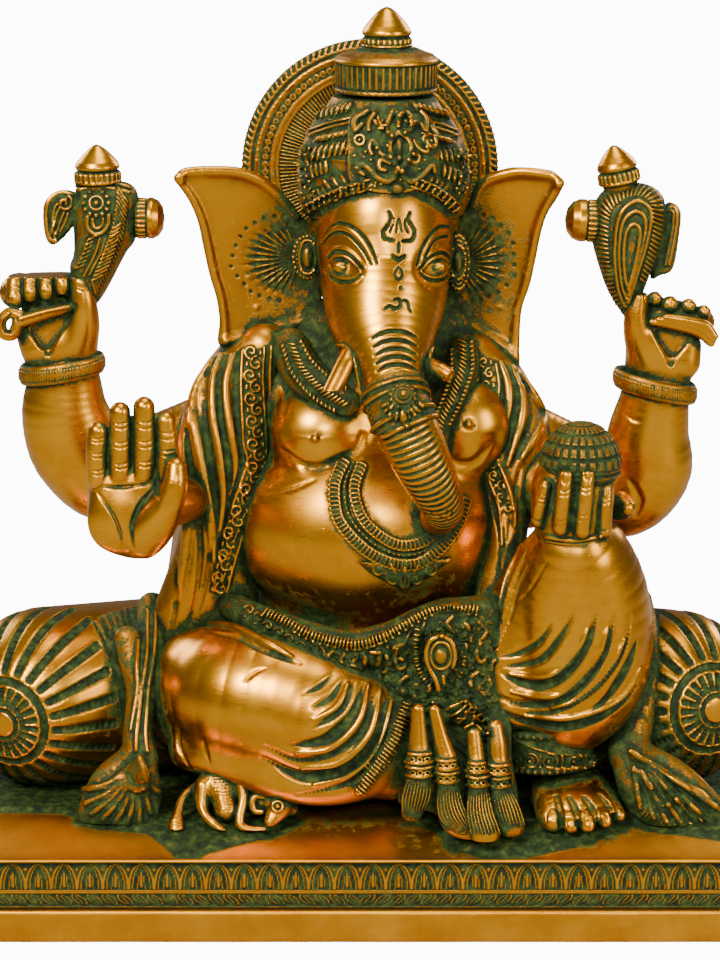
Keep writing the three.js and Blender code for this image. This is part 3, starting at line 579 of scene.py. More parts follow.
def make_shawl_left():
    c = Clay((-104, -46, 112), (-22, 34, 296), 0.6)
    c.bar([(-46.6, 0, 267.6, 14, 13), (-60.2, -4, 249.6, 18, 15), (-66.1, -10, 225, 22, 16),
           (-67.1, -14, 196, 19, 15),
           (-74.2, -14, 165.9, 17, 13), (-85.4, -12, 135, 17, 12), (-90.5, -12, 119.7, 13, 11)], soft=3)
    c.bar([(-67.3, -14, 173.5, 14, 12), (-66.6, -14, 145.7, 17, 12), (-71.7, -14, 127.4, 15, 11)], soft=4)
    c.bar([(-53.8, 12, 262.3, 15, 14), (-68.1, 9, 239.9, 16, 17), (-74.2, 6, 211.5, 13, 17),
           (-78.9, 4, 176.6, 13, 16),
           (-84.2, 4, 140.9, 13, 16)], soft=8)
    ridges = (
        ([(-71.5, 58.8), (-78.9, 48), (-81.8, 35.3), (-79.4, 17.6), (-76.4, 0), (-73, -19.6),
          (-71.5, -39.2)], 3.4),
        ([(-67.6, 61.7), (-71.5, 51), (-72, 33.3), (-69.1, 14.7), (-67.1, -4.9), (-68.1, -24.5)], 2.6),
        ([(-61.7, 61.7), (-65.2, 51), (-65.7, 40.2), (-63.7, 24.5), (-61.2, 8.8), (-61.7, -3.9)], 2.4),
        ([(-83.3, 33.3), (-85.3, 14.7), (-83.3, -9.8), (-85.3, -34.3), (-89.2, -58.8)], 3.2),
    )
    for line, r in ridges:
        c.draw(line, r, lift=0.2, soft=1.6, taper=0.6)
    grooves = (
        ([(-74, 56.8), (-76.4, 43.1), (-75.5, 24.5), (-72.5, 4.9), (-70.1, -14.7)], 1.5),
        ([(-65.7, 60.8), (-68.6, 49), (-68.1, 29.4), (-65.2, 9.8), (-64.2, -9.8), (-66.6, -31.8)], 1.7),
        ([(-58.8, 62.7), (-60.8, 49), (-60.3, 29.4), (-57.8, 12.2), (-60.3, -2.5), (-66.6, -24.5),
          (-70.1, -44.1)], 1.8),
        ([(-85.3, 24.5), (-83.3, 4.9), (-79.4, -19.6), (-78.4, -39.2), (-80.4, -58.8), (-86.2, -78.4)],
         1.9),
        ([(-72.5, -29.4), (-75.5, -49), (-80.4, -68.6)], 1.6),
        ([(-90.2, -39.2), (-90.2, -58.8), (-93.1, -78.4)], 1.5),
    )
    for line, r in grooves:
        c.draw(line, r, lift=0.4, soft=1.2, cut=True, taper=0.5)
    c.draw([(-57.3, 63.7), (-58.3, 46.1), (-57.1, 19.1), (-55.4, 9.8), (-59.3, -3.9), (-65.2, -21.6),
            (-69.1, -40.2), (-71.5, -53.9)], 0.8, 0.6)
    inner = [(-43.6, 65.2), (-44.6, 46.1), (-42.9, 19.1), (-44.6, 5.4), (-49, -7.8), (-56.8, -24.5),
             (-61.7, -40.2), (-65.2, -54.9)]
    c.draw(inner, 0.9, 0.6)
    c.draw([(x - 3.2, h) for x, h in inner], 0.6, 0.4)
    scroll_band(c, [(-51.9, 62.7), (-52.4, 46.1), (-51, 19.1), (-51, 6.9), (-54.9, -5.9), (-61.7, -22.5),
                    (-66.2, -40.2), (-69.1, -52.9)], 8.6)
    return c


def make_shawl_right():
    c = Clay((28, -56, 118), (102, 34, 296), 0.6)
    c.bar([(56.4, 0, 264.6, 12, 13), (65.1, -4, 249.6, 16, 15), (70.9, -10, 229, 18, 15),
           (71.7, -18, 206.9, 15, 14),
           (70.1, -28, 184.4, 11, 11), (67.7, -32, 165.5, 11, 11), (64.8, -36, 148.6, 10, 10)], soft=3)
    c.bar([(59.7, 12, 259.3, 14, 14), (71.6, 9, 239.9, 15, 16), (80.4, 4, 216.9, 14, 16),
           (82.2, -4, 193.7, 14, 14)], soft=8)
    ridges = (
        ([(68.6, 57.8), (72.5, 46.5), (72.5, 34.3), (69.6, 23.5)], 2.4),
        ([(74.5, 55.9), (78.9, 44.1), (79.4, 32.3), (76, 18.6), (72.5, 7.3)], 2.4),
        ([(79.4, 51), (86.2, 39.2), (89.2, 29.4), (84.3, 19.6), (79.4, 10.8)], 2.8),
        ([(69.6, 4.9), (74.5, -9.8), (75.5, -22.1)], 2.2),
    )
    for line, r in ridges:
        c.draw(line, r, lift=0.2, soft=1.4, taper=0.6)
    grooves = (
        ([(71, 57.8), (75.5, 45.1), (75.5, 32.3), (72.5, 19.6), (70.1, 8.8)], 1.5),
        ([(76.9, 53.9), (82.8, 41.2), (83.8, 31.4), (79.4, 19.6), (74.5, 6.9)], 1.5),
        ([(66.6, 58.8), (68.6, 46.1), (68.1, 29.4), (65.7, 16.7), (68.6, 0), (72.5, -15.7)], 1.5),
        ([(60.8, 4.9), (65.7, -12.2), (69.6, -29.4), (68.6, -46.5)], 1.6),
        ([(78.4, 4.9), (75.5, -9.8), (72.5, -29.4)], 1.4),
    )
    for line, r in grooves:
        c.draw(line, r, lift=0.4, soft=1.2, cut=True, taper=0.5)
    c.draw([(55.9, 61.7), (57.8, 47), (59.8, 36.3), (59.8, 24.5), (59.3, 12.2), (63.7, 0), (68.6, -14.7),
            (69.6, -31.8)], 0.8, 0.5)
    c.draw([(66.6, 56.8), (68.1, 46.1), (66.6, 33.3), (65.2, 21.6), (68.1, 8.8), (73, -3.9), (75.5, -14.7)],
           0.8, 0.5)
    scroll_band(c, [(61.7, 57.8), (63.2, 46.1), (63.2, 34.3), (62.2, 21.6), (64.2, 9.8), (68.6, -2.5),
                    (72, -13.7)], 6.4)
    return c


# ---------- head ----------
def make_head():
    c = Clay((-34, -86, 252), (58, 36, 378), 0.5)
    c.blob((11.5, -12, 332.2), (33, 38, 36), soft=0)
    c.blob((11.6, 2, 326.1), (37, 32, 36), soft=6)
    c.bar([(11.9, -18, 313.8, 31, 36), (11.9, -28, 301, 29.5, 33), (11.4, -39, 290.5, 26, 27),
           (12.7, -50, 280.5, 21, 21), (14.5, -58, 270.1, 16.5, 17.5), (15.4, -66, 258.3, 14, 14.5)],
           soft=8)
    c.bar([(11, 4, 258, 25, 18), (12, 0, 300, 31, 18)], soft=8)
    # Cheeks hollow towards the trunk, and the sockets of the eyes.
    for sign, at in ((-1, (-8.9, -52, 317.6)), (1, (36.1, -50, 317.2))):
        c.blob(at, (8.5, 6.5, 8), turn=(0, 0, 18 * sign), soft=5, cut=True)
    make_eye(c, 1, (-8.3, 103.9), 4.1)
    make_eye(c, -1, (37.5, 103.9), 3.7)
    brows = (
        [(-17.1, 120.5), (-13.2, 124.5), (-8.8, 125.9), (-1.7, 122.5), (4.3, 115.6), (8.4, 106.3)],
        [(-18.6, 115.1), (-14.2, 120.5), (-6.9, 120.8), (-0.2, 115.1), (5.8, 105.8)],
        [(44.6, 124), (38.7, 124), (33.5, 118.6), (29.8, 111.7), (27.9, 104.9)],
        [(43.6, 119.6), (37.2, 118.1), (33.5, 113.2), (30.4, 104.4)],
    )
    for line in brows:
        c.draw(line, 0.8, lift=-0.35, soft=0.4, cut=True, taper=0.4)
    for a, b in ((brows[0], brows[1]), (brows[2], brows[3])):
        middle = (spline(a, 16) + spline(b, 16)) / 2
        c.draw(middle, 1.1, lift=-0.5, soft=1.2, taper=0.5)
    # Marks engraved down the forehead.
    marks = (
        ([(14.1, 131.6), (15.3, 128.4), (13.9, 125), (11.4, 121.5), (12.2, 118.3), (16.7, 117.4)], 0.75),
        ([(24.7, 131.1), (23.6, 127.6), (25.6, 124.5), (26.9, 121), (25.4, 117.6), (20.9, 117.1)], 0.75),
        ([(16.6, 128.1), (15.9, 125), (14.7, 121.5)], 0.5),
        ([(22.5, 127.9), (22.2, 124.5), (23.7, 121)], 0.5),
        ([(17.7, 121.3), (19, 127.9), (20.6, 121.3)], 0.5),
        ([(19.1, 116.1), (19, 111.7)], 0.75),
        ([(16.2, 109.8), (18.9, 107.9), (21.8, 109.8)], 1.0),
        ([(19.1, 104.6), (17.1, 101.3), (19.1, 98), (21, 101.3), (19.1, 104.6)], 0.55),
        ([(12.2, 83.8), (14.7, 85.3), (17.6, 83.8), (20.1, 85.8), (19.1, 88.7), (16.7, 88.2)], 0.75),
        ([(21.1, 88.2), (23.5, 87.2), (24, 84.3), (25, 82.8)], 0.6),
    )
    for line, r in marks:
        c.draw(line, r * 1.3, lift=-0.35, soft=0.2, cut=True, taper=0.3)
    spots, _ = c.land([(20.1, 94.1)])
    c.ball(spots[0], 1.1, cut=True)
    # Rings round the root of the trunk.
    for i, v in enumerate((73, 68.6, 64.4, 60.5, 56.6, 52.7)):
        reach = 11.4 - 0.35 * i
        x = 16.8 + 0.35 * i
        c.draw([(x - reach, v - 3.6), (x - reach * 0.5, v - 0.8), (x, v), (x + reach * 0.5, v - 0.6),
                (x + reach, v - 3.0)],
               1.1, lift=-0.25, soft=0.4, cut=True, taper=0.7)
    # The rings that hold the tusks.
    rings = (
        ([(-10.8, 66.2), (-6.9, 65.4), (-3.2, 60.3), (-1, 53.4), (0.5, 45.1)], 1.35),
        ([(-11.8, 63.2), (-7.8, 59.3), (-4.9, 52.9), (-2.5, 45.1)], 1.25),
        ([(36.8, 66.6), (34.3, 63.7), (32.8, 57.8), (32.3, 51), (33.3, 46.1)], 1.2),
        ([(37.7, 63.7), (36.5, 57.8), (35.3, 51), (34.3, 46.1)], 1.1),
    )
    for line, r in rings:
        c.draw(line, r, lift=0.6, soft=0.6, taper=0.4)
    return c


def make_eye(c, hand, at, size):
    """A domed eye between layered lids; hand is 1 where the outer corner is to the left."""
    x, h = at
    spots, _ = c.land([at])
    c.blob(spots[0] + np.array([0, 0.6, 0]), (size * 1.15, size * 0.62, size * 0.80),
           turn=(0, hand * 12, 0), soft=0.5)

    def arc(points):
        return [(x + hand * a * size, h + b * size) for a, b in points]

    upper = arc([(-1.7, 0.7), (-1.0, 1.35), (0, 1.5), (1.1, 0.9), (2.1, -0.3)])
    upper2 = arc([(-2.0, 1.5), (-1.1, 2.35), (0.2, 2.3), (1.5, 1.5), (2.6, 0.1)])
    lower = arc([(-1.7, 0.5), (-1.2, -0.7), (-0.1, -1.25), (1.1, -1.15), (2.1, -0.5)])
    lower2 = arc([(-1.9, -0.2), (-1.4, -1.5), (-0.1, -2.1), (1.3, -1.9), (2.3, -1.0)])
    for line, r, lift in ((upper, 0.85, 0.5), (lower, 0.75, 0.4), (upper2, 0.85, 0.2), (lower2, 0.7, 0.1)):
        c.draw(line, r, lift=lift, soft=0.5, taper=0.5)
    between = arc([(-1.9, 1.1), (-1.0, 1.85), (0.1, 1.9), (1.3, 1.2), (2.3, -0.1)])
    under = arc([(-1.8, 0.1), (-1.3, -1.1), (-0.1, -1.68), (1.2, -1.52), (2.2, -0.75)])
    for line in (between, under):
        c.draw(line, 0.8, lift=-0.1, soft=0.3, cut=True, taper=0.4)
    iris = [(x + size * 0.5 * math.cos(a), h + size * 0.42 * math.sin(a)) for a in np.linspace(0, 6.3, 16)]
    c.draw(iris, 0.45, lift=0.0, soft=0.2, cut=True)


# ---------- trunk ----------
TRUNK = [(15.4, -66, 262.2, 14.4, 13.6), (18.2, -72, 252.9, 14.6, 13.4), (23.8, -77, 240.6, 14.4, 13),
         (29.9, -78, 227.5, 13.4, 12.4), (35.6, -74, 215.1, 11.6, 11.4), (39.1, -66, 205, 10, 10),
         (37, -58, 198.2, 8.6, 8.6)]


def make_trunk():
    c = Clay((-4, -96, 186), (60, -36, 284), 0.5)
    c.bar(TRUNK, soft=0)
    middle = spline(TRUNK, 60)
    way = np.gradient(middle[:, :3], axis=0)
    for i in range(17, 54, 2):
        p, t = middle[i], unit(way[i])
        side = unit(np.cross(t, (0, -1, 0)))
        top = np.cross(side, t) if np.cross(side, t)[1] < 0 else -np.cross(side, t)
        arc = [p[:3] + (side * math.sin(a) * p[3] + top * math.cos(a) * p[4]) - t * 2.6 * (1 - math.cos(a))
               for a in np.radians(np.linspace(-62, 62, 15))]
        width = np.interp(np.linspace(-1, 1, 15), (-1, -0.7, 0.7, 1), (0.2, 0.75, 0.75, 0.2))
        c.chain(np.column_stack([arc, width]), soft=0.4, cut=True)
    for r in (6.6, 4.0):

        spots, _ = c.land([(38.7 + r * math.cos(a),
                            -15.2 + r * 0.8 * math.sin(a)) for a in np.radians(np.arange(190, 372, 15))])
        c.chain(np.column_stack([spots, np.full(len(spots), 0.5)]), soft=0.3, cut=True)
    return c


def make_trunk_band():
    """The jewelled band at the top of the trunk: cords round it, a rosette in front and a leaf below."""
    c = Clay((-6, -98, 242), (44, -44, 282), 0.45)
    middle = spline(TRUNK, 60)
    for i, r, grow in ((2, 1.3, 0.9), (5, 1.1, 1.1), (12, 1.2, 1.0), (16, 1.1, 0.8)):
        p, t = middle[i], unit(middle[i + 1, :3] - middle[i - 1, :3])
        side = unit(np.cross(t, (0, -1, 0)))
        top = np.cross(t, side) if np.cross(t, side)[1] < 0 else -np.cross(t, side)
        loop = [p[:3] + side * math.sin(a) * (p[3] + grow) + top * math.cos(a) * (p[4] + grow)
                for a in np.linspace(0, 2 * math.pi, 33)]
        c.chain(np.column_stack([loop, np.full(33, r)]), soft=0.4)
    c.bar([tuple(p[:3]) + (p[3] + 0.5, p[4] + 0.5) for p in middle[2:17:3]], soft=0.4)
    for i in range(6, 12, 2):
        p = middle[i]
        for a in np.radians(np.arange(-85, 90, 9)):
            if abs(a) > 0.55:
                bead = (math.sin(a) * (p[3] + 0.9), -math.cos(a) * (p[4] + 0.9) * 0.84,
                        -math.cos(a) * 5 + 2)
                c.ball(p[:3] + np.array(bead), 1.0, 0.2)
    at, _ = c.land([(20.8, 40.2)])
    axis = (0.1, -0.86, 0.5)
    petals = lambda angle, height: 0.45 * np.cos(angle * 14)
    c.turned([(-2, 6.2), (1.6, 6.4), (2.6, 5.4)], at[0], axis, waves=petals)
    c.turned([(1, 4.4), (3.6, 4.2), (4.2, 3.4)], at[0], axis)
    c.turned([(3, 2.6), (5.2, 2.4), (6, 1.2)], at[0], axis)
    c.blob(at[0] + np.array([0.3, -5.5, 3.2]), (1.3, 1.3, 1.3), soft=0.2)
    leaf = np.linspace(-1.25, 1.25, 9)
    for a in leaf:
        tip = (20.8 + 9.6 * math.sin(a), 39.2 - 9.2 * math.cos(a))
        root = (20.8 + 6.4 * math.sin(a), 39.7 - 6.2 * math.cos(a))
        c.draw([root, tip], 1.15, lift=0.7, soft=0.3)
    c.draw([(20.8, 33.3), (21.6, 29.4), (23, 26.5)], 1.9, lift=0.6, soft=0.6, taper=0.5)
    return c


def make_tusk(left):
    c = Clay((-20, -84, 262), (52, -46, 300), 0.45)
    if left:
        c.chain(spline([(-3.8, -58, 277.8, 4.6), (-7, -64, 272.3, 4.7), (-14.4, -72, 259.1, 4.1)], 8),
                soft=0)
        cap = (-15.4, -73, 257.4)
    else:
        c.chain(spline([(32.3, -60, 271.5, 4.0), (37.4, -66, 270.7, 3.8), (41.9, -70, 268.7, 3.3)], 6),
                soft=0)
        cap = (43.3, -71, 267.9)
    c.ball(cap, 2.6, soft=2.0, cut=True)
    return c


# ---------- ears ----------
def make_ear(left):
    if left:
        c = Clay((-95, -24, 256), (-8, 20, 360), 0.62)
        rim = [(-89.7, 149), (-86.2, 152.4), (-73, 152.9), (-58.8, 151.9), (-47, 147), (-38.2, 139.2),
               (-31.4, 130.3), (-21.6, 119.6),
               (-18.6, 93.1), (-21.6, 75.5), (-31.4, 73.5), (-48, 69.6), (-68.1, 66.2), (-68.6, 79.4),
               (-70.1, 90.2), (-73.5, 101.9),
               (-76.4, 115.6), (-78.9, 127.9), (-83.3, 138.7)]
        dish = lambda x, z: 7 - 15 * np.clip((-16 - x) / 72, 0, 1.2) ** 1.6 - 3.5 * ((z - 306) / 45) ** 2
        rolls = ([(-89.2, 148), (-85.3, 150.9), (-73, 151.4), (-58.8, 150.4), (-47, 145.5), (-38.2, 137.7),
                  (-31.4, 129.4)],
                 [(-87.7, 146), (-81.8, 137.2), (-77.4, 126.9), (-74.5, 114.7), (-71.5, 100.9),
                  (-68.1, 89.2), (-66.6, 78.4), (-66.2, 69.6)],
                 [(-65.7, 68.1), (-55.9, 69.6), (-45.1, 72.5), (-34.3, 75.5), (-23.5, 79.4)])
        centre = (-29.4, 108.8)
        reach = [(205, 30), (196, 32), (187, 34), (178, 33), (169, 32), (160, 31), (151, 30), (142, 28),
                 (132, 26), (121, 24), (110, 22), (214, 29), (223, 27), (233, 25), (244, 23)]
    else:
        c = Clay((26, -24, 252), (104, 20, 358), 0.62)
        rim = [(99, 146.5), (96, 149.4), (90.6, 151.4), (77.9, 152.4), (66.2, 149.9), (57.3, 144.6),
               (53.9, 135.2), (43.1, 119.6),
               (39.2, 93.1), (42.1, 79.4), (50.5, 74), (60.8, 67.6), (69.6, 62.7), (77.4, 53.9),
               (77.9, 65.7), (78.9, 84.3),
               (82.8, 96), (85.3, 106.8), (88.2, 121.5), (91.1, 131.3), (96, 139.2)]
        dish = lambda x, z: 7 - 15 * np.clip((x - 36) / 66, 0, 1.2) ** 1.6 - 3.5 * ((z - 304) / 45) ** 2
        rolls = ([(98, 146), (94.1, 149), (90.2, 149.9), (77.9, 150.9), (66.6, 148.5), (58.8, 143.6),
                  (55.4, 135.2)],
                 [(97, 144.6), (90.6, 133.3), (86.7, 122.5), (83.8, 108.8), (80.8, 95.1), (77.4, 84.3),
                  (76, 73.5), (75.5, 62.7)],
                 [(43.6, 81.8), (51.4, 76.9), (60.8, 70.6), (69.6, 65.7), (75.5, 59.8)])
        centre = (48.5, 106.8)
        reach = [(-50, 22), (-38, 24), (-26, 26), (-14, 28), (-3, 27), (8, 27), (19, 28), (30, 28),
                 (41, 27),
                 (52, 27), (63, 26), (-61, 21), (-72, 20)]
    c.plate(closed(rim, 0, 120), dish, 2.7, soft=0, edge=1.6)
    for line, r in zip(rolls, (2.5, 1.3, 2.4)):
        c.draw(line, r, lift=0.3, soft=3.0, taper=0.35)
    for angle, far in reach:
        a = math.radians(angle)
        ray = lambda k, a=a: (centre[0] + k * math.cos(a), centre[1] + k * math.sin(a))
        c.draw([ray(7), ray(far * 0.55), ray(far * 0.86)], 0.8, lift=0.1, soft=0.3, cut=True, taper=0.5)
        c.stud(ray(far), 0.95, lift=0.1, cut=True)
        b = math.radians(angle + 4.5)
        c.draw([(centre[0] + k * math.cos(b), centre[1] + k * math.sin(b)) for k in (7, far * 0.7)], 0.7,
               0.1, 0.4, taper=0.5)
    # The back of the ear: a raised spine and veins.
    sign = -1 if left else 1
    for k in range(5):
        z = 330 - k * 12
        x0 = sign * 30 + (2 if left else 16)
        path = [(x0 + sign * t * (38 - 4.5 * k), 12 - 15 * t ** 1.6,
                 z + (3 - 3 * k) * t) for t in np.linspace(0, 0.9, 7)]
        c.bar([p + (1.0 - 0.07 * i,) for i, p in enumerate(path)], soft=1.6)
    return c


def ear_stain(left):
    """Green gathers round the root of the ear and fades towards its rim."""
    root = np.array([-26.0 if left else 50.0, 314.0 if left else 311.0])

    def stain(p):
        away = np.hypot(p[:, 0] - root[0], (p[:, 2] - root[1]) * 0.85)
        return 0.42 * smoothstep(40, 14, away) + 0.15

    return stain


def make_ear_ornament(left):
    if left:
        c = Clay((-44, -36, 300), (-14, -4, 332), 0.4)
        at = (-25.7, 109.3)
        c.plate(closed([(-33.3, 109.3), (-31.4, 117.6), (-26, 120.5), (-20.1, 117.1), (-18.6, 109.3),
                        (-20.6, 100.9), (-26, 97.5), (-31.4, 101.4)], -16),
                -16, 5.5, soft=0, edge=2, swell=9)
        half = (2.5, 5.4)
        ring = (7.1, 10.8)
    else:
        c = Clay((36, -36, 286), (66, -4, 340), 0.4)
        at = (48, 106.8)
        c.plate(closed([(44.1, 119.6), (48.5, 122), (52.9, 116.1), (54.4, 106.3), (52.4, 96.5), (48, 91.1),
                        (43.6, 95.1), (42.1, 106.8)], -16),
                -16, 5, soft=0, edge=2, swell=7)
        half = (2.1, 5.2)
        ring = (5.2, 14.1)
    spots, _ = c.land([at])
    c.blob(spots[0], (half[0], 2.6, half[1]), soft=0.4)
    c.ring(at, half[0] + 1.3, 0.75, squash=half[1] / half[0], lift=0.3)
    for a in np.radians(np.arange(0, 360, 15)):
        c.stud((at[0] + ring[0] * 0.92 * math.cos(a), at[1] + ring[1] * 0.92 * math.sin(a)), 0.95, 0.3)
        c.stud((at[0] + ring[0] * 0.7 * math.cos(a + 0.13), at[1] + ring[1] * 0.76 * math.sin(a + 0.13)),
               0.7, 0.2)
    return c


# ---------- halo ----------
def make_halo():
    c = Clay((-62, 34, 280), (72, 54, 420), 0.65)
    centre = (4.9, 351)
    c.turned([(-7, 61.5), (-5.5, 63), (-1.5, 63), (0, 61.8)], (centre[0], 40, centre[1]), FRONT, soft=0)

    def relief(x, y, z):
        rho = np.sqrt((x - centre[0]) ** 2 + (z - centre[1]) ** 2)
        a = np.arctan2(z - centre[1], x - centre[0])
        rope = np.cos(a * 118 + rho * 1.1) * 0.42 * smoothstep(59.4, 60.2, rho)
        ridges = sum(0.6 * np.exp(-(((rho - r) / 0.75) ** 2)) for r in (59.2, 56.2, 47.6, 45.6))
        u = np.mod(a * 88 / math.pi, 2) - 1
        eye = np.sqrt((u * 51.6 * math.pi / 88) ** 2 + (rho - 51.6) ** 2)
        rings = 0.65 * np.exp(-(((eye - 1.25) / 0.42) ** 2)) + 0.4 * np.exp(-((eye / 0.5) ** 2))
        cell = 0.35 * smoothstep(1.9, 2.4, np.abs(rho - 51.6)) * (rho > 48) * (rho < 56)
        pleats = np.sin(a * 152) * 0.6 * smoothstep(33.5, 35, rho) * smoothstep(45, 44, rho)
        return (rope + ridges + rings + cell + pleats) * (y < 43)

    c.raise_by((-62, 36, 280), (72, 43, 420), relief)

    def back(x, y, z):
        rho = np.sqrt((x - centre[0]) ** 2 + (z - centre[1]) ** 2)
        a = np.arctan2(z - centre[1], x - centre[0])
        petals = 0.55 * np.abs(np.sin(a * 12)) * smoothstep(20, 30, rho) * smoothstep(54, 50, rho)
        return sum(0.6 * np.exp(-(((rho - r) / 0.9) ** 2)) for r in (59, 55.5, 18, 14)) + petals

    c.raise_by((-62, 44, 280), (72, 50, 420), back)

    def stain(p):
        x, y, z = p.T
        front = relief(x, np.minimum(y, 42), z)
        rho = np.hypot(x - centre[0], z - centre[1])
        plain = smoothstep(59.5, 60.5, rho) * 0.25
        return np.where(y < 43.5, 0.78 - plain - 1.1 * front, 0.5 - 0.9 * back(x, y, z))

    return c, stain


# ---------- crown ----------
CROWN_AXIS = (11.3, -2)


def make_finial():
    c = Clay((-8, -24, 410), (32, 18, 440), 0.4)
    at = (12.7, -2, 0)
    c.turned([(414.6, 11.4), (415.6, 12.2), (416.3, 11.9)], at, soft=0)
    ribs = lambda angle, height: 0.4 * np.cos(angle * 26)
    c.turned([(415.6, 11.2), (417, 12.0), (418.9, 11.6), (419.9, 10)], at, waves=ribs)
    c.turned([(419.4, 9.5), (420.3, 11.3), (421.3, 11.9), (422.7, 11.6), (425.1, 10.1), (427.9, 7.9),
              (430.7, 5.3), (432.4, 3.4), (433.3, 1.8), (433.8, 0.3)], at, soft=0.3)
    return c


def make_drum():
    c = Clay((-18, -32, 378), (42, 28, 420), 0.5)
    at = (12.5, -2, 0)
    c.turned([(393.2, 22.0), (393.7, 24.4), (395.6, 24.4), (396.1, 23.0), (407.5, 23.4), (407.7, 25.0),
              (409.2, 24.8), (411.3, 22.4), (412.7, 17), (414.2, 12), (415.6, 11)], at, soft=0)
    c.turned([(396.1, 23.4), (396.6, 24.2), (407, 24.6), (407.5, 24)], at, soft=0.2)
    for k in range(46):
        a = 2 * math.pi * (k + 0.5) / 46
        foot, head = ([at[0] + 24.6 * math.cos(a), at[1] + 24.6 * math.sin(a), z, 1.1] for z in (396.3,
            406.8))
        c.chain([foot, head], soft=0.3, cut=True)
    return c


def leaves(c, a, b, count, size, slant, radius=0.9, lift=0.5):
    """A row of slanting leaves from one drawn point to another."""
    a, b = np.asarray(a, float), np.asarray(b, float)
    for i in range(count):
        p = a + (b - a) * (i + 0.5) / count
        way = np.array([math.cos(math.radians(slant)), math.sin(math.radians(slant))]) * size / 2
        c.draw([p - way, p + way * 0.2, p + way], radius, lift, soft=0.3, taper=0.55)


def make_crown():
    c = Clay((-36, -50, 326), (60, 44, 398), 0.55)
    axis = CROWN_AXIS + (0,)
    rise = [(335.2, 38.5), (342.9, 40.8), (351.7, 41.6), (364.2, 40.0), (371.9, 37.5), (379.1, 33.6),
            (386.3, 27.5), (391.6, 24.2)]
    c.turned(rise, axis, soft=0)

    def tiers(angle, height):
        bands = ((345.9, 1.5), (355.5, 1.5), (365.2, 1.6), (374.3, 1.7), (382.5, 1.5))
        waves = 0.0
        for z, amount in bands:
            above = height - z
            lobes = np.abs(np.cos(angle * 16 + above * 0.22))
            waves = waves + amount * np.exp(-((above / 1.3) ** 2))
            waves = waves + lobes * np.exp(-(((above - 5.2) / 2.6) ** 2))
        return waves - 0.9

    c.turned(rise, axis, soft=0.4, waves=tiers)
    # Rows of leaves and beads to the left and right of the crest.
    for a, b, n, size, slant in (
        ((-20.6, 178.8), (-3.9, 182.3), 7, 5.2, 62), ((-28.4, 158.3), (-3.9, 163.2), 9, 7.0, 70),
        ((-20.6, 166.6), (-4.9, 170), 6, 4.4, 30),
        ((-15.7, 142.1), (3.9, 148), 5, 10.5, 128), ((-24.5, 137.2), (-14.7, 141.1), 4, 6.5, 120),
        ((-23.5, 150.9), (-14.7, 153.9), 4, 6.0, 95),
        ((25.5, 182.3), (43.1, 178.4), 7, 5.2, 118), ((26.5, 163.2), (50, 157.8), 9, 7.0, 110),
        ((28.4, 170), (44.1, 166.1), 6, 4.4, 150),
        ((26.5, 147), (41.2, 141.1), 6, 8.5, 55), ((39.2, 151.9), (49, 148), 4, 6.0, 85),
    ):
        leaves(c, a, b, n, size, slant, radius=1.4, lift=1.0)
    for line in ([(-24.5, 171), (-14.7, 174.4), (-4.4, 176.9)],
                 [(-23.5, 169), (-13.7, 172.5), (-4.4, 174.9)],
                 [(25.5, 176.9), (36.3, 174.9), (47, 171)], [(25.5, 174.9), (36.3, 172.5), (47, 168.6)]):
        c.draw(line, 0.7, lift=0.9, soft=0.3)
    for at in ((-27.4, 161.7), (-26.9, 154.3), (-26.5, 146.5), (-25, 140.6), (50.5, 158.8), (50.5, 150.9),
               (49, 143.1)):
        c.stud(at, 1.9, lift=0.8)
        for a in range(6):
            c.stud((at[0] + 2.6 * math.cos(a * 1.047), at[1] + 2.6 * math.sin(a * 1.047)), 0.9, lift=1.0)
    # The beaded band over the forehead.
    low = [(-26.9, 132.3), (-21.1, 135.5), (-13.2, 139.4), (-1, 143.6), (11.8, 145.8), (24.5, 146),
           (33.8, 143.1), (40.7, 139.2), (47, 133.8)]
    c.draw([(x, h + 1.9) for x, h in low], 0.7, lift=1.4)
    c.draw([(x, h - 1.9) for x, h in low], 0.7, lift=1.4)
    c.stitches(low, 1.7, 2.7, 0.95, slant=78, lift=1.5)
    return c


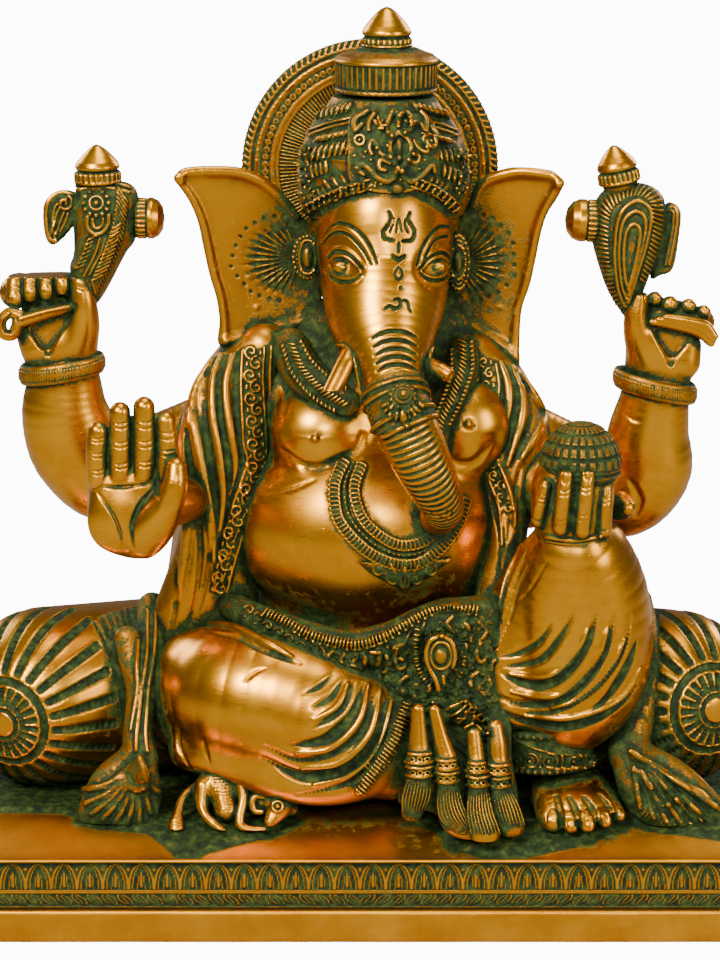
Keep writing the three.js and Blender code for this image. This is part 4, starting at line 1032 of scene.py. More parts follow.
def make_crest():
    """The openwork ornament at the front of the crown."""
    c = Clay((-8, -58, 340), (42, -26, 398), 0.4)
    body = CROWN_AXIS + (0,)
    c.turned([(342.9, 43.2), (351.7, 43.9), (364.2, 42.5), (371.9, 40.2), (379.1, 36.6), (386.3, 30.8)],
             body, soft=0)
    hug = [(-3.9, 146), (-5.9, 161.7), (-4.9, 176.4), (3.9, 184.7), (15.7, 187.2), (27.4, 184.7),
           (35.3, 176.4), (39.2, 161.7), (35.3, 147), (17.6, 141.1)]
    keep = Clay(c.low, c.low + (c.count - 1) * c.step, c.step)
    keep.plate(closed(hug, -40, 60), -40, 30, soft=0)
    c.d = np.maximum(c.d, keep.d)
    cords = (
        ([(18.6, 170), (15.2, 166.1), (14.5, 161.2), (17.6, 153.9), (19.6, 152.4), (22.1, 155.3),
          (24.5, 160.7), (23.5, 166.1), (18.6, 170)], 1.15),
        ([(18.6, 152.9), (16.2, 148), (13.2, 146.5), (8.3, 148.5), (5.4, 151.9), (1, 154.8), (-0.5, 151.9),
          (2, 149.9)], 1.3),
        ([(15.2, 158.3), (10.3, 159.7), (6.9, 166.1), (4.9, 162.7), (5.9, 159.7)], 1.15),
        ([(15.2, 155.3), (10.3, 156.8), (9.3, 152.9), (12.2, 151.9)], 1.0),
        ([(19.6, 151.9), (21.6, 148), (25, 146.5), (29.4, 149), (34.3, 154.3), (35.8, 151.4)], 1.3),
        ([(23.5, 156.8), (26.9, 155.3), (28.4, 158.3), (25.5, 159.7)], 1.0),
        ([(15.7, 168.1), (12.7, 171.5), (14.7, 177.4), (16.7, 179.8), (18.6, 177.4), (18.6, 172.5)], 1.05),
        ([(21.6, 169.5), (25.5, 173.5), (23.5, 178.4), (20.6, 180.3), (19.1, 177.9)], 1.0),
        ([(9.8, 188.2), (10.3, 183.3), (4.4, 179.8), (-1.5, 176.4), (-2, 171), (1, 173.5)], 1.25),
        ([(10.3, 182.8), (4.9, 175.4), (4.4, 171)], 1.05),
        ([(15.2, 189.1), (15.2, 182.3)], 1.2), ([(18.6, 189.1), (18.6, 182.3)], 1.2),
        ([(22.1, 189.1), (23.5, 184.2), (21.6, 182.3)], 1.15),
        ([(27.4, 181.3), (31.4, 177.4), (31.8, 170.5), (29.4, 173.5)], 1.1),
        ([(34.3, 172.5), (37.2, 167.6), (33.3, 163.7), (30.4, 166.6), (32.3, 168.6)], 1.0),
        ([(26, 165.6), (28.9, 161.7), (32.3, 160.7), (32.8, 163.7)], 0.9),
    )
    for line, r in cords:
        c.draw(line, r * 1.3, lift=1.1, soft=0.35, taper=0.25)
    for at, r in (((0, 166.4), 2.4), ((34.8, 165.6), 2.2)):
        c.ring(at, r, 0.8, lift=0.7)
        c.stud(at, 0.8, lift=0.7)
    for base, tips in (((9.3, 172.5), ((6.4, 176.4), (8.8, 177.4), (11.3, 175.9), (12.7, 173.5))),
                       ((25, 173.9), ((21.6, 175.9), (24.5, 177.9), (27.4, 175.9)))):
        for tip in tips:
            c.draw([base, tip], 1.0, lift=0.8, soft=0.3, taper=0.4)
    spots, _ = c.land([(18.9, 161.7)])
    c.blob(spots[0], (1.9, 2.2, 5.2), soft=0.4)
    c.stud((19, 157.8), 1.7, lift=0.9)
    c.stud((18.1, 143.1), 3.0, lift=0.2)
    for at in ((5.4, 156.8), (2.9, 160.7), (28.9, 152.4), (31.4, 156.8), (8.3, 162.7), (21.6, 171.5),
               (13.7, 163.7), (-2.5, 158.8), (-1.5, 152.9)):
        c.stud(at, 0.9, lift=0.4)
    return c


# ---------- conches ----------
def make_conch(left):
    if left:
        c = Clay((-162, -28, 282), (-100, 12, 372), 0.45)
        body = [(-137.7, 145), (-125.9, 146.5), (-113.2, 145.5), (-108.3, 137.7), (-109.5, 119.1),
                (-114.4, 111.2), (-119.2, 101.9), (-125.4, 90.6),
                (-130.3, 85.3), (-135.2, 88.2), (-140.1, 95.1), (-142.6, 103.9), (-140.6, 110.7),
                (-140.6, 121.5), (-141.6, 132.8), (-139.7, 140.6)]
        c.plate(closed(body, -8), -7, 12.5, soft=0, edge=2, swell=14)
        wing = [(-138.7, 140.6), (-147, 142.1), (-153.9, 137.7), (-155.6, 129.8), (-154.1, 118.6),
                (-150.2, 115.1), (-144.6, 119.1), (-139.7, 125.4), (-135.2, 132.3)]
        c.plate(closed(wing, -8, 50), -8, 5, soft=1.5, edge=1.5, swell=3)
        edge = [(-139.7, 139.7), (-147, 140.6), (-152.4, 136.7), (-153.9, 129.4), (-152.4, 119.6),
                (-149.9, 117.1)]
        c.draw(edge, 1.1, lift=0.3, soft=0.4)
        c.draw([(x + 3.2, h - 2.6) for x, h in edge[1:5]], 0.8, lift=0.3)
        c.draw(spiral((-144.6, 135.7), 3.9, 1.3, 60, -1), 0.85, lift=0.3)
        for line in ([(-151.4, 120.5), (-149, 129.4), (-147, 133.8)],
                     [(-149.4, 120.5), (-147, 126.4), (-145, 131.3)],
                     [(-147, 122), (-144.6, 126.4), (-143.1, 130.8)]):
            c.draw(line, 0.75, lift=0.3)
        for k, r in ((0, 1.3), (4.4, 1.1)):
            c.draw([(-138.2, 144.1), (-131.3, 145), (-122.5, 145),
                    (-113.7, 143.1)] - np.array([0, k]) * 0.49, r * 0.9, lift=0.5)
        c.ring((-129.2, 135.7), 3.3, 0.75)
        c.stud((-129.2, 135.7), 1.5)
        for a in range(0, 360, 30):
            c.stud((-129.2 + 6.0 * math.cos(math.radians(a)), 135.7 + 6.0 * math.sin(math.radians(a))),
                   1.35, lift=0.2)
        cup = [(-133.3, 128.9), (-133.3, 124.5), (-130.3, 120.8), (-126.4, 121.3), (-123.5, 125),
               (-123, 129.8)]
        c.draw(cup, 1.25, lift=0.3)
        c.draw([(-128.6 + (x - -128.6) * 0.5, 126.4 + (h - 126.4) * 0.55) for x, h in cup], 0.9, lift=0.3)
        stem = [(-118.6, 143.1), (-119.6, 133.3), (-121.5, 123), (-125.4, 111.7), (-131.3, 98)]
        c.draw(stem, 0.7, lift=0.3)
        c.stitches(stem, [4.2, 4.4, 4.6, 4.4, 3.6], 2.05, 0.7, slant=38, side=1.0)
        c.stitches(stem[2:], [2.6, 3.4, 3.8], 2.05, 0.7, slant=-38, side=-1.0)
        inner = [(-133.3, 117.6), (-136.2, 109.8), (-139.2, 103.9)]
        c.draw(inner, 0.7, lift=0.3)
        c.stitches(inner, 2.2, 1.9, 0.65, slant=-42, side=-1.0)
        for line in ([(-127.4, 118.6), (-130.3, 109.8), (-135.2, 100)],
                     [(-124.5, 118.6), (-127.4, 110.7), (-132.3, 100.9)]):
            c.draw(line, 0.8, lift=0.3)
    else:
        c = Clay((104, -28, 274), (164, 12, 364), 0.45)
        body = [(119.6, 142.1), (125.4, 145), (132.8, 146), (141.6, 144.7), (148, 140.3), (149.9, 133.3),
                (148.5, 117.6), (142.1, 100),
                (137.7, 88.2), (133.3, 76.4), (126.9, 83.3), (120.5, 94.1), (115.6, 108.8), (113.7, 117.6),
                (114.7, 134.8)]
        c.plate(closed(body, -8), -7, 12.5, soft=0, edge=2, swell=14)
        wing = [(149, 134.3), (153.9, 135.7), (157.5, 131.3), (156.8, 121), (153.6, 103.6), (147, 100),
                (142.1, 99), (143.1, 117.6)]
        c.plate(closed(wing, -6, 50), -5, 5, soft=1.0, edge=1.5, swell=3)
        for k in (0, 3.4):
            c.draw([(150.4, 133.3) + np.array([-k * 0.3, -k]) * 0.4,
                    (153.9, 133.8) + np.array([-k * 0.6, -k]) * 0.5,
                    (155.3, 129.4) + np.array([-k, 0]) * 0.5, (154.3, 120.5) + np.array([-k, 0]) * 0.5,
                    (151.4, 105.8) + np.array([-k, 0]) * 0.5], 0.9, lift=0.3)
        for grow, r in ((1.0, 1.0), (0.74, 0.95), (0.46, 0.9)):
            drop = [(130.3, 85.3), (126.7, 95.1), (125, 112.7), (127.4, 129.8), (135.6, 136.7),
                    (142.3, 131.8), (140.6, 117.6), (136.5, 103.9), (131.3, 87.2)]
            mid = np.array((132.8, 106.8))
            c.draw([mid + (np.array(p) - mid) * (grow, grow ** 0.6) for p in drop], r, lift=0.35)
        fan = [(127.9, 82.3), (122, 95.1), (119.6, 106.8), (118.6, 119.6), (120, 132.3), (126.4, 139.2),
               (135.2, 142.1), (143.1, 138.7), (146, 130.3),
               (144.6, 117.6), (141.1, 105.8), (138.2, 98)]
        c.stitches(fan, [1.2, 2.6, 3.1, 3.1, 3.1, 3.0, 3.0, 2.7, 2.6, 2.4, 1.6], 2.15, 0.8, slant=72)
    if left:
        knob, axis = (-106.5, -7, 333.3), (1, 0, 0)
        profile = [(-1, 8.8), (0.5, 9.6), (3.8, 9.6), (4.6, 8.6)]
        dome = [(4.0, 8.6), (5, 9.9), (7, 10.0), (10, 8.6), (12, 5.6), (12.9, 0.4)]
    else:
        knob, axis = (113.2, -7, 331.9), (-1, 0, 0.05)
        profile = [(-1, 9.0), (0.5, 10), (3.8, 10), (4.6, 9)]
        dome = [(4.0, 8.8), (5, 10.2), (8, 10.3), (11.5, 8.8), (14, 5.6), (15, 0.4)]
    return c, (knob, axis, profile, dome)


def make_knob(knob, axis, profile, dome):
    at = np.array(knob)
    c = Clay(at - (18, 14, 14), at + (18, 14, 14), 0.4)
    c.turned(profile, at, axis, soft=0, waves=lambda angle, height: 0.4 * np.cos(angle * 24))
    c.turned(dome, at, axis, soft=0.3)
    return c


def make_conch_finial(left):
    at, axis = ((-125.4, -7, 350.2), (-0.02, 0, 1)) if left else ((124.4, -7, 350.2), (-0.2, 0, 1))
    at = np.array(at)
    c = Clay(at - (16, 14, 5), at + (16, 14, 27), 0.4)
    k = 1.0 if left else 0.9
    c.turned([(-3, 9 * k), (0, 9.6 * k)], at, axis, soft=0)
    c.turned([(0, 10 * k), (1, 11 * k), (5, 11 * k), (6, 10 * k)], at, axis, soft=0.3, waves=lambda a,
             h: 0.42 * np.cos(a * 24))
    c.turned([(0.2, 11 * k), (1.2, 11.4 * k), (1.8, 10.8 * k)], at, axis)
    c.turned([(5.8, 8.6 * k), (7, 10.4 * k), (8.4, 10.8 * k), (10.5, 9.8 * k), (13.5, 7.2 * k),
              (16.2, 4.4 * k), (17.8, 2.3 * k), (18.6, 0.4)],
             at, axis)
    return c


# ---------- rear arms and hands ----------
def make_rear_arm(left):
    if left:
        c = Clay((-176, -24, 176), (-52, 50, 268), 0.85)
        c.bar([(-61, 14, 238.9, 12, 12), (-83.8, 15, 219.6, 19, 19), (-118.1, 8, 204, 24, 22),
               (-136.2, 3, 216.2, 24, 21),
               (-143.4, -1, 234, 21.5, 18), (-143.9, -3, 249.4, 18.5, 15), (-143.7, -4, 257.5, 17, 14)],
               soft=0)
        c.draw([(-130.8, -9.8), (-125.4, -17.1), (-121.5, -24.5)], 0.7, soft=0.6, cut=True, taper=0.7)
    else:
        c = Clay((60, -24, 168), (176, 50, 262), 0.85)
        c.bar([(71.3, 14, 231.9, 12, 12), (98.7, 15, 210.5, 19, 19), (125.2, 8, 194.9, 22.5, 21),
               (140.3, 3, 207.1, 22, 20),
               (140.6, -1, 225.1, 20, 17), (142.6, -3, 239.4, 17.5, 15), (143.8, -4, 248.6, 16.4, 14)],
               soft=0)
        c.draw([(129.8, 32.3), (133.8, 29.4), (138.2, 28.4)], 0.7, soft=0.4, cut=True, taper=0.7)
        c.draw([(132.3, 0), (137.2, -9.8), (135.2, -17.6)], 1.2, soft=2.0, cut=True, taper=0.9)
    return c


def make_bangle(left):
    if left:
        at, half, tilt = np.array((-144.6, -4, 259.5)), (18.8, 15.5), 9
    else:
        at, half, tilt = np.array((143.3, -4, 251.1)), (18.3, 15.5), -13
    c = Clay(at - (26, 22, 16), at + (26, 22, 16), 0.4)
    s = math.sin(math.radians(tilt))
    for dz in (-3.1, 3.1):
        loop = [at + (half[0] * math.cos(a), half[1] * math.sin(a), s * half[0] * math.cos(a) + dz)
                for a in np.linspace(0, 2 * math.pi, 60)]
        c.chain(np.column_stack([loop, np.full(60, 1.8)]), soft=0.6)
    loop = [at + (half[0] * 0.985 * math.cos(a), half[1] * 0.985 * math.sin(a),
                  s * half[0] * math.cos(a)) for a in np.linspace(0, 2 * math.pi, 60)]
    c.chain(np.column_stack([loop, np.full(60, 2.6)]), soft=0.8)
    for k in range(96):
        a = 2 * math.pi * k / 96
        p = at + (half[0] * math.cos(a) * 1.10, half[1] * math.sin(a) * 1.12, s * half[0] * math.cos(a))
        c.chain(np.array([[*(p + (0, 0, -2.0)), 0.62], [*(p + (0, 0, 2.0)), 0.62]]), soft=0.2)
    return c


def crease(left, h, right, sag=1.0):
    """A drawn line from side to side that sags in the middle."""
    return [(left, h), ((left + right) / 2, h - sag), (right, h)]


def make_rear_hand_left():
    c = Clay((-182, -32, 240), (-120, 14, 306), 0.5)
    c.bar([(-144.7, -4, 251.6, 16.2, 13), (-145.5, -4, 262.4, 16.6, 12.5), (-146.2, -5, 271.5, 18, 12),
           (-149, -5, 279.4, 17, 11)], soft=0)
    c.bar([(-135.3, -8, 270.1, 8, 8), (-133, -11, 281.5, 7.6, 7.6), (-132.6, -13, 292.6, 6.2, 6.6),
           (-133.9, -13, 302.8, 5.2, 5.6)], soft=4)
    c.bar([(-155.6, -8, 271.1, 8, 8), (-157.9, -8, 276, 7, 7)], soft=4)
    c.draw([(-152.9, 62.2), (-156.8, 68.6), (-162.7, 73.5)], 1.5, soft=1.5, cut=True, taper=0.5)
    c.draw([(-152.9, 62.2), (-149, 70.6), (-143.1, 79.4), (-139.7, 85.8)], 2.0, soft=1.5, cut=True,
           taper=0.4)
    c.plate(closed([(-152.9, 63.7), (-161.7, 73.5), (-151.9, 80.4), (-140.1, 85.3)], -16, 40), -18, 6,
            soft=1.2, cut=True)
    c.bar([(-166, -5, 297, 8, 9), (-150.5, -5, 300.9, 8, 9), (-140.8, -5, 301.9, 7, 8),
           (-135.1, -6, 293.3, 6, 7)], soft=1.5)
    for x, top, low, r in ((-169, 99, 87.2, 4.0), (-161.5, 100.9, 90.2, 3.5), (-153.6, 102.9, 91.1, 3.4),
                           (-145.8, 104.9, 93.6, 3.3)):
        (tx, tz), (bx, bz) = at_depth([(x, top), (x, low)], -14)
        c.bar([(tx + 1, -2, tz - 3, r), (tx, -10, tz, r), (bx, -15, bz + 3, r), (bx, -15, bz, r * 0.9)],
              soft=0.7)
        for k in (0.40, 0.58):
            h = top + (low - top) * k
            c.draw(crease(x - r * 0.75, h, x + r * 0.75, -1.3), 0.5, lift=0.1, soft=0.3, cut=True,
                   taper=0.4)
        c.draw([(x - r * 0.5, low + 0.5), (x - r * 0.42, low + 4), (x, low + 5), (x + r * 0.42, low + 4),
                (x + r * 0.5, low + 0.5)], 0.35, 0.1, 0.2, cut=True)
    for h in (95.5, 93.8):
        c.draw(crease(-139.2, h, -133.8, 1.2), 0.5, lift=0.1, soft=0.3, cut=True, taper=0.4)
    c.bar([(-134.8, -10, 292.5, 1.8), (-141.1, -15, 291, 2.4), (-153.5, -17, 287.9, 3.0),
           (-164, -18, 284.7, 3.2)], soft=0.6)
    c.draw([(-143.1, 84.8), (-154.8, 82.3), (-166.6, 78.9)], 1.0, lift=0.5)
    curl = [(-166.6, 80.8), (-172, 81.8), (-175.9, 77.9), (-174.9, 72), (-170.5, 71), (-168.6, 74.5)]
    spots = at_depth(curl, -18)
    c.bar([(x, -18, z, 2.8) for x, z in spots], soft=0.6)
    c.draw(curl[1:5], 0.8, lift=0.4)
    return c


def make_rear_hand_right():
    c = Clay((124, -32, 236), (182, 14, 298), 0.5)
    c.bar([(143.9, -4, 245.6, 15.6, 13), (144.7, -4, 255.5, 16, 12.5), (145.4, -5, 264.6, 16.8, 12),
           (147.1, -5, 273.5, 15, 11)], soft=0)
    c.bar([(139.3, -8, 264.2, 8, 8), (135, -11, 274.6, 7.4, 7.4), (132.7, -13, 285.7, 5.8, 6.2),
           (134, -13, 295.5, 4.6, 5.2)], soft=4)
    c.bar([(145.8, -10, 269.5, 7, 7), (139.8, -11, 277.5, 5.5, 6)], soft=3)
    c.bar([(157.7, -8, 263.2, 7, 7), (159, -8, 271.1, 6, 6)], soft=4)
    c.draw([(152.4, 56.8), (149, 64.7), (144.1, 73.5)], 1.5, soft=1.5, cut=True, taper=0.5)
    c.draw([(152.4, 56.8), (155.3, 63.7), (160.2, 69.6)], 1.6, soft=1.5, cut=True, taper=0.5)
    c.plate(closed([(152.4, 59.8), (145, 73.5), (161.7, 70.6)], -16, 40), -18, 6, soft=1.2, cut=True)
    c.bar([(140.2, -4, 285.1, 7, 8), (150.9, -4, 285.1, 8, 9), (164.5, -4, 282.1, 7, 8)], soft=1.5)
    for (x, h), r in (((144.6, 88.7), 3.6), ((152.1, 85.8), 4.2), ((161.2, 85), 3.7), ((168.6, 82.3), 3.3)):
        (bx, bz), = at_depth([(x, h)], -12)
        c.bar([(bx - 1, 0, bz - 8, r + 1.4), (bx, -6, bz - 2, r + 0.6), (bx, -11, bz, r)], soft=1.2)
        c.draw([(x - r * 0.55, h - 1), (x, h + r * 0.5), (x + r * 0.55, h - 1)], 0.45, 0.1, 0.2, cut=True)
    for lift in (0, 2.55, 5.1):
        line = at_depth([(143.1 + lift * 1.3, 77.4 + lift * 0.5), (154.8 + lift * 1.1, 75.5 + lift * 0.55),
                         (165.1 + lift * 0.8, 72.5 + lift * 0.7), (172 + lift * 0.3, 67.1 + lift * 0.7)],
                         -17)
        c.bar([(x, -17 - lift * 0.2, z, r) for (x, z), r in zip(line, (1.6, 2.1, 2.2, 2.0))], soft=0.4)
    c.draw([(133.8, 88.2), (135.7, 91.6), (138.7, 91.1), (139.7, 87.2)], 0.45, 0.1, 0.2, cut=True)
    return c


# ---------- front hands ----------
def make_blessing_hand():
    c = Clay((-140, -90, 160), (-80, -54, 266), 0.5)
    palm = [(-133.3, 1), (-133.8, -12.2), (-132.8, -25), (-127.9, -32.3), (-119.1, -37.2), (-108.3, -39.2),
            (-99.5, -36.8), (-92.1, -28.9), (-88.2, -18.6),
            (-86.2, -7.3), (-90.2, 2.9), (-102.9, 8.8), (-121.5, 8.8), (-130.3, 4.9)]
    c.plate(closed(palm, -72), -71, 8.5, soft=0, edge=3, swell=13)
    c.plate(closed([(-131.3, 16.7), (-121.5, 27.4), (-107.8, 31.4), (-94.1, 24.5), (-91.1, 4.9),
                    (-112.7, -2.9), (-131.3, -1)], -72), -71.5, 3.4, soft=1.5, edge=2)
    c.blob((-114.8, -76, 201.1), (13, 6, 15), soft=5)
    for line, r in (
        ([((-128.4, 24), (-129.4, 13.7), (-128.9, 0))], 4.6),
        ([((-117.6, 33.3), (-117.6, 19.6), (-117.6, 2.9))], 4.9),
        ([((-105.8, 35.8), (-105.6, 19.6), (-105.8, 2.9))], 5.0),
        ([((-95.1, 28.9), (-94.1, 17.1), (-95.1, 2.9))], 4.7),
    ):
        spots = at_depth(line[0], -75)
        c.bar([(x, -75.5, z, k) for (x, z), k in zip(spots, (r, r * 1.03, r))], soft=0.9)
    c.bar([(-85.6, -82, 227.4, 5.0), (-86.1, -84, 220.3, 6.0), (-89.5, -83, 210.5, 7.4),
           (-95.9, -80, 200.1, 9.4, 7.6), (-101.4, -76, 191.4, 9, 7)], soft=1.6)
    for left, right, heights in (
        (-132.4, -125.4, (20.6, 18.9, 13.2, 11.3, 4.9, 2.9)),
        (-121.3, -113.9, (28.2, 25.7, 18.6, 16.2, 8.1, 5.9)),
        (-109.5, -101.7, (28.7, 25.7, 19.1, 16.4, 9.1, 6.9)),
        (-98.5, -90.6, (23.5, 20.3, 14.7, 12.2)),
    ):
        for h in heights:
            c.draw(crease(left + 0.3, h, right - 0.3, 0.7), 0.6, lift=0.15, soft=0.3, cut=True, taper=0.3)
    for line in ([(-126.4, -3.2), (-115.6, -3.4), (-104.4, -2)],
                 [(-128.4, -6.6), (-121.5, -16.2), (-117.4, -26), (-116.4, -33.3)],
                 [(-101.4, -4.4), (-107.1, -11.3), (-111.2, -20.6), (-111.5, -29.4), (-110.2, -34.8)]):
        c.draw(line, 1.15, lift=0.2, soft=0.4, cut=True, taper=0.55)
    c.draw([(-99, 2.9), (-99.5, -2.9), (-98.5, -9.3)], 1.4, lift=0.2, soft=0.8, cut=True, taper=0.5)
    return c


def make_blessing_arm():
    c = Clay((-124, -84, 172), (-40, 6, 238), 0.7)
    c.bar([(-60.9, 4, 202.9, 12, 14), (-75.2, -8, 198.6, 11, 14), (-85.6, -32, 200.3, 11, 13),
           (-95.9, -54, 203.5, 13, 12), (-103.6, -68, 205.9, 13, 9)],
          soft=0)
    return c


def make_offering_hand():
    c = Clay((78, -94, 178), (138, -38, 226), 0.5)
    c.bar([(100.3, -62, 192.8, 17, 16), (100.2, -62, 203.5, 19.5, 18), (100.5, -62, 213.2, 19.6, 18)],
          soft=0)
    c.bar([(124.1, -46, 200.7, 7), (127, -52, 201.1, 4.2)], soft=2)
    for drawn, joints in (
        (((90.6, -3.4), (88.7, -11.8), (87.2, -19.6)), (-8.8, -10.8, -19.1)),
        (((100.9, 2.5), (99.5, -9.8), (98, -23.5)), (-4.7, -7.1, -19.6, -21.8)),
        (((111.7, 4.4), (110.2, -9.8), (108.8, -25)), (-3.4, -5.4, -16.9, -19.4)),
        (((120.3, -4.4), (120, -13.7), (119.6, -24.5)), (-8.6, -10.5, -24)),
    ):
        x = np.array([p[0] for p in drawn])
        y = -62 - np.sqrt(np.maximum(20.5 ** 2 - (x - 104) ** 2, 20)) * np.array([0.95, 1.0, 0.93])
        bars = [(*at_depth([p], d)[0], d) for p, d in zip(drawn, y)]
        c.bar([(a, d, b, r) for (a, b, d), r in zip(bars, (3.2, 3.6, 3.5))], soft=0.7)
        for h in joints:
            mid = np.interp(-h, [-s[1] for s in drawn], [s[0] for s in drawn])
            c.draw(crease(mid - 2.7, h, mid + 2.7, 1.0), 0.5, lift=0.15, soft=0.3, cut=True, taper=0.3)
        a, b = drawn[0]
        c.draw([(a - 1.6, b + 1), (a - 1.8, b - 3), (a, b - 4.6), (a + 1.8, b - 3), (a + 1.6, b + 1)], 0.4,
               0.1, 0.2, cut=True)
    c.draw([(91.6, -27.9), (104.9, -29.4), (118.1, -27.4)], 1.0, lift=0.4)
    c.draw([(91.6, -29.9), (104.9, -31.4), (118.1, -29.4)], 0.8, lift=0.3)
    return c


def make_offering_arm():
    c = Clay((54, -56, 168), (120, 10, 238), 0.7)
    c.bar([(74.1, -8, 210.6, 15, 14), (91, -22, 201.9, 15, 15), (101.4, -42, 199.7, 14, 14),
           (101.8, -52, 199.2, 13, 13)], soft=0)
    c.bar([(118.8, -40, 196.3, 6), (125.2, -44, 199.2, 6)], soft=4)
    return c


def make_sweets():
    c = Clay((78, -88, 208), (126, -38, 250), 0.45)
    at = np.array((103.9, -62, 0.0))
    low, high = 219, 245.5
    base = low + 5.0
    c.turned([(low - 1, 17.4), (low + 1, 18.6), (low + 2.2, 19.2), (low + 3.2, 18.4), (low + 4.4, 19.2),
              (base + 1, 18.6)], at, soft=0)

    def bumps(angle, height):
        t = (height - base) / (high - base)
        rows = np.abs(np.sin(np.arcsin(np.clip(t, 0, 1)) * 10.5))
        columns = np.abs(np.sin(angle * 13))
        return 1.25 * np.clip(np.minimum(rows, columns) * 1.6, 0, 1) - 0.9

    rise = np.linspace(0, 1, 24)
    c.turned([(base + (high - base) * t, 19.4 * math.sqrt(max(1 - t * t, 0.0004))) for t in rise], at,
             soft=0.2, waves=bumps)
    return c


# ---------- legs ----------
def make_folded_leg():
    c = Clay((-104, -100, DECK - 1), (64, 12, 150), 0.7)
    c.bar([(-72.5, -24, 100.7, 32, 30), (-60.1, -42, 106.1, 33, 33), (-33.8, -50, 102.4, 36, 35),
           (-7.2, -56, 95.2, 33, 31),
           (13.5, -58, 81.7, 23, 22)], soft=0)
    c.bar([(-79.3, -6, 92.3, 28, 28), (-73.5, -24, 102.8, 31, 30)], soft=8)
    c.bar([(-58.5, -26, 128.7, 10, 12), (-29, -40, 122.6, 12, 12), (-3.8, -52, 118, 12, 10)], soft=9)
    c.bar([(-84.2, -50, 79.2, 8, 10), (-62.6, -60, 76.3, 10, 10), (-33.5, -70, 70.5, 10, 10),
           (-4.8, -72, 72.1, 10, 10), (15.3, -70, 91.5, 9, 9)], soft=9)
    c.slab((-110, -110, -20), (70, 20, DECK - 0.6), cut=True)
    grooves = (
        ([(-14.2, -96), (-20.1, -101.4), (-27.4, -104.9)], 1.5),
        ([(-8.3, -98), (-14.2, -106.8), (-23, -111.7)], 1.7),
        ([(-3.4, -99), (-9.3, -112.7), (-23.5, -122)], 1.7),
        ([(1.5, -100), (-3.9, -115.6), (-17.1, -127.4), (-35.3, -130.3)], 3.1),
        ([(6.9, -100), (2, -121.5), (-12.7, -133.8), (-30.4, -137.2), (-47, -130.3)], 1.8),
        ([(14.2, -104.9), (6.4, -129.4), (-7.8, -142.1), (-27.4, -145.5), (-47, -136.7)], 3.6),
        ([(17.1, -109.8), (9.8, -134.3), (-2, -147), (-17.6, -151.9), (-30.9, -154.3)], 1.7),
    )
    for line, r in grooves:
        c.draw(line, r, lift=0.5, soft=1.4, cut=True, taper=0.72)
    for line, r in (([(-5.9, -100), (-11.3, -110.7), (-22.5, -117.6)], 1.2),
                    ([(4.4, -100), (-1, -118.6), (-14.7, -131.3), (-31.4, -133.8)], 1.5),
                    ([(10.3, -102.9), (4.4, -124.5), (-9.8, -138.2), (-28.4, -141.1)], 1.6),
                    ([(15.7, -107.8), (8.3, -131.8), (-4.9, -144.6), (-22.5, -149.4)], 1.4)):
        c.draw(line, r, lift=0.4, soft=1.5, taper=0.6)
    c.draw([(-75.5, -70.6), (-62.7, -72.5), (-50, -78.4), (-34.3, -86.7)], 2.2, lift=0.8, soft=1.5,
           taper=0.5)
    c.draw([(-74.5, -74), (-60.8, -76.9), (-48, -83.3), (-29.4, -90.2)], 1.5, lift=0.3, soft=1, cut=True,
           taper=0.5)
    c.draw([(-46.1, -92.1), (-51.9, -94.6), (-57.3, -99.5)], 1.0, lift=0.2, soft=0.8, cut=True, taper=0.8)
    c.draw([(-89.7, -118.6), (-88.2, -131.3), (-83.3, -141.1)], 1.1, lift=0.2, soft=0.9, cut=True,
           taper=0.8)
    c.draw([(-76.9, -126.4), (-75.5, -133.3), (-73.5, -139.2)], 1.1, lift=0.2, soft=0.9, cut=True,
           taper=0.8)
    strip = [(22.1, -110.7), (17.6, -125.4), (9.8, -138.2), (0, -151.9)]
    c.draw(strip, 3.2, lift=-0.6, soft=1.0)
    c.stitches(strip, 2.6, 1.7, 0.6, slant=82, lift=2.0)
    return c, painted(grooves, behind=-30)


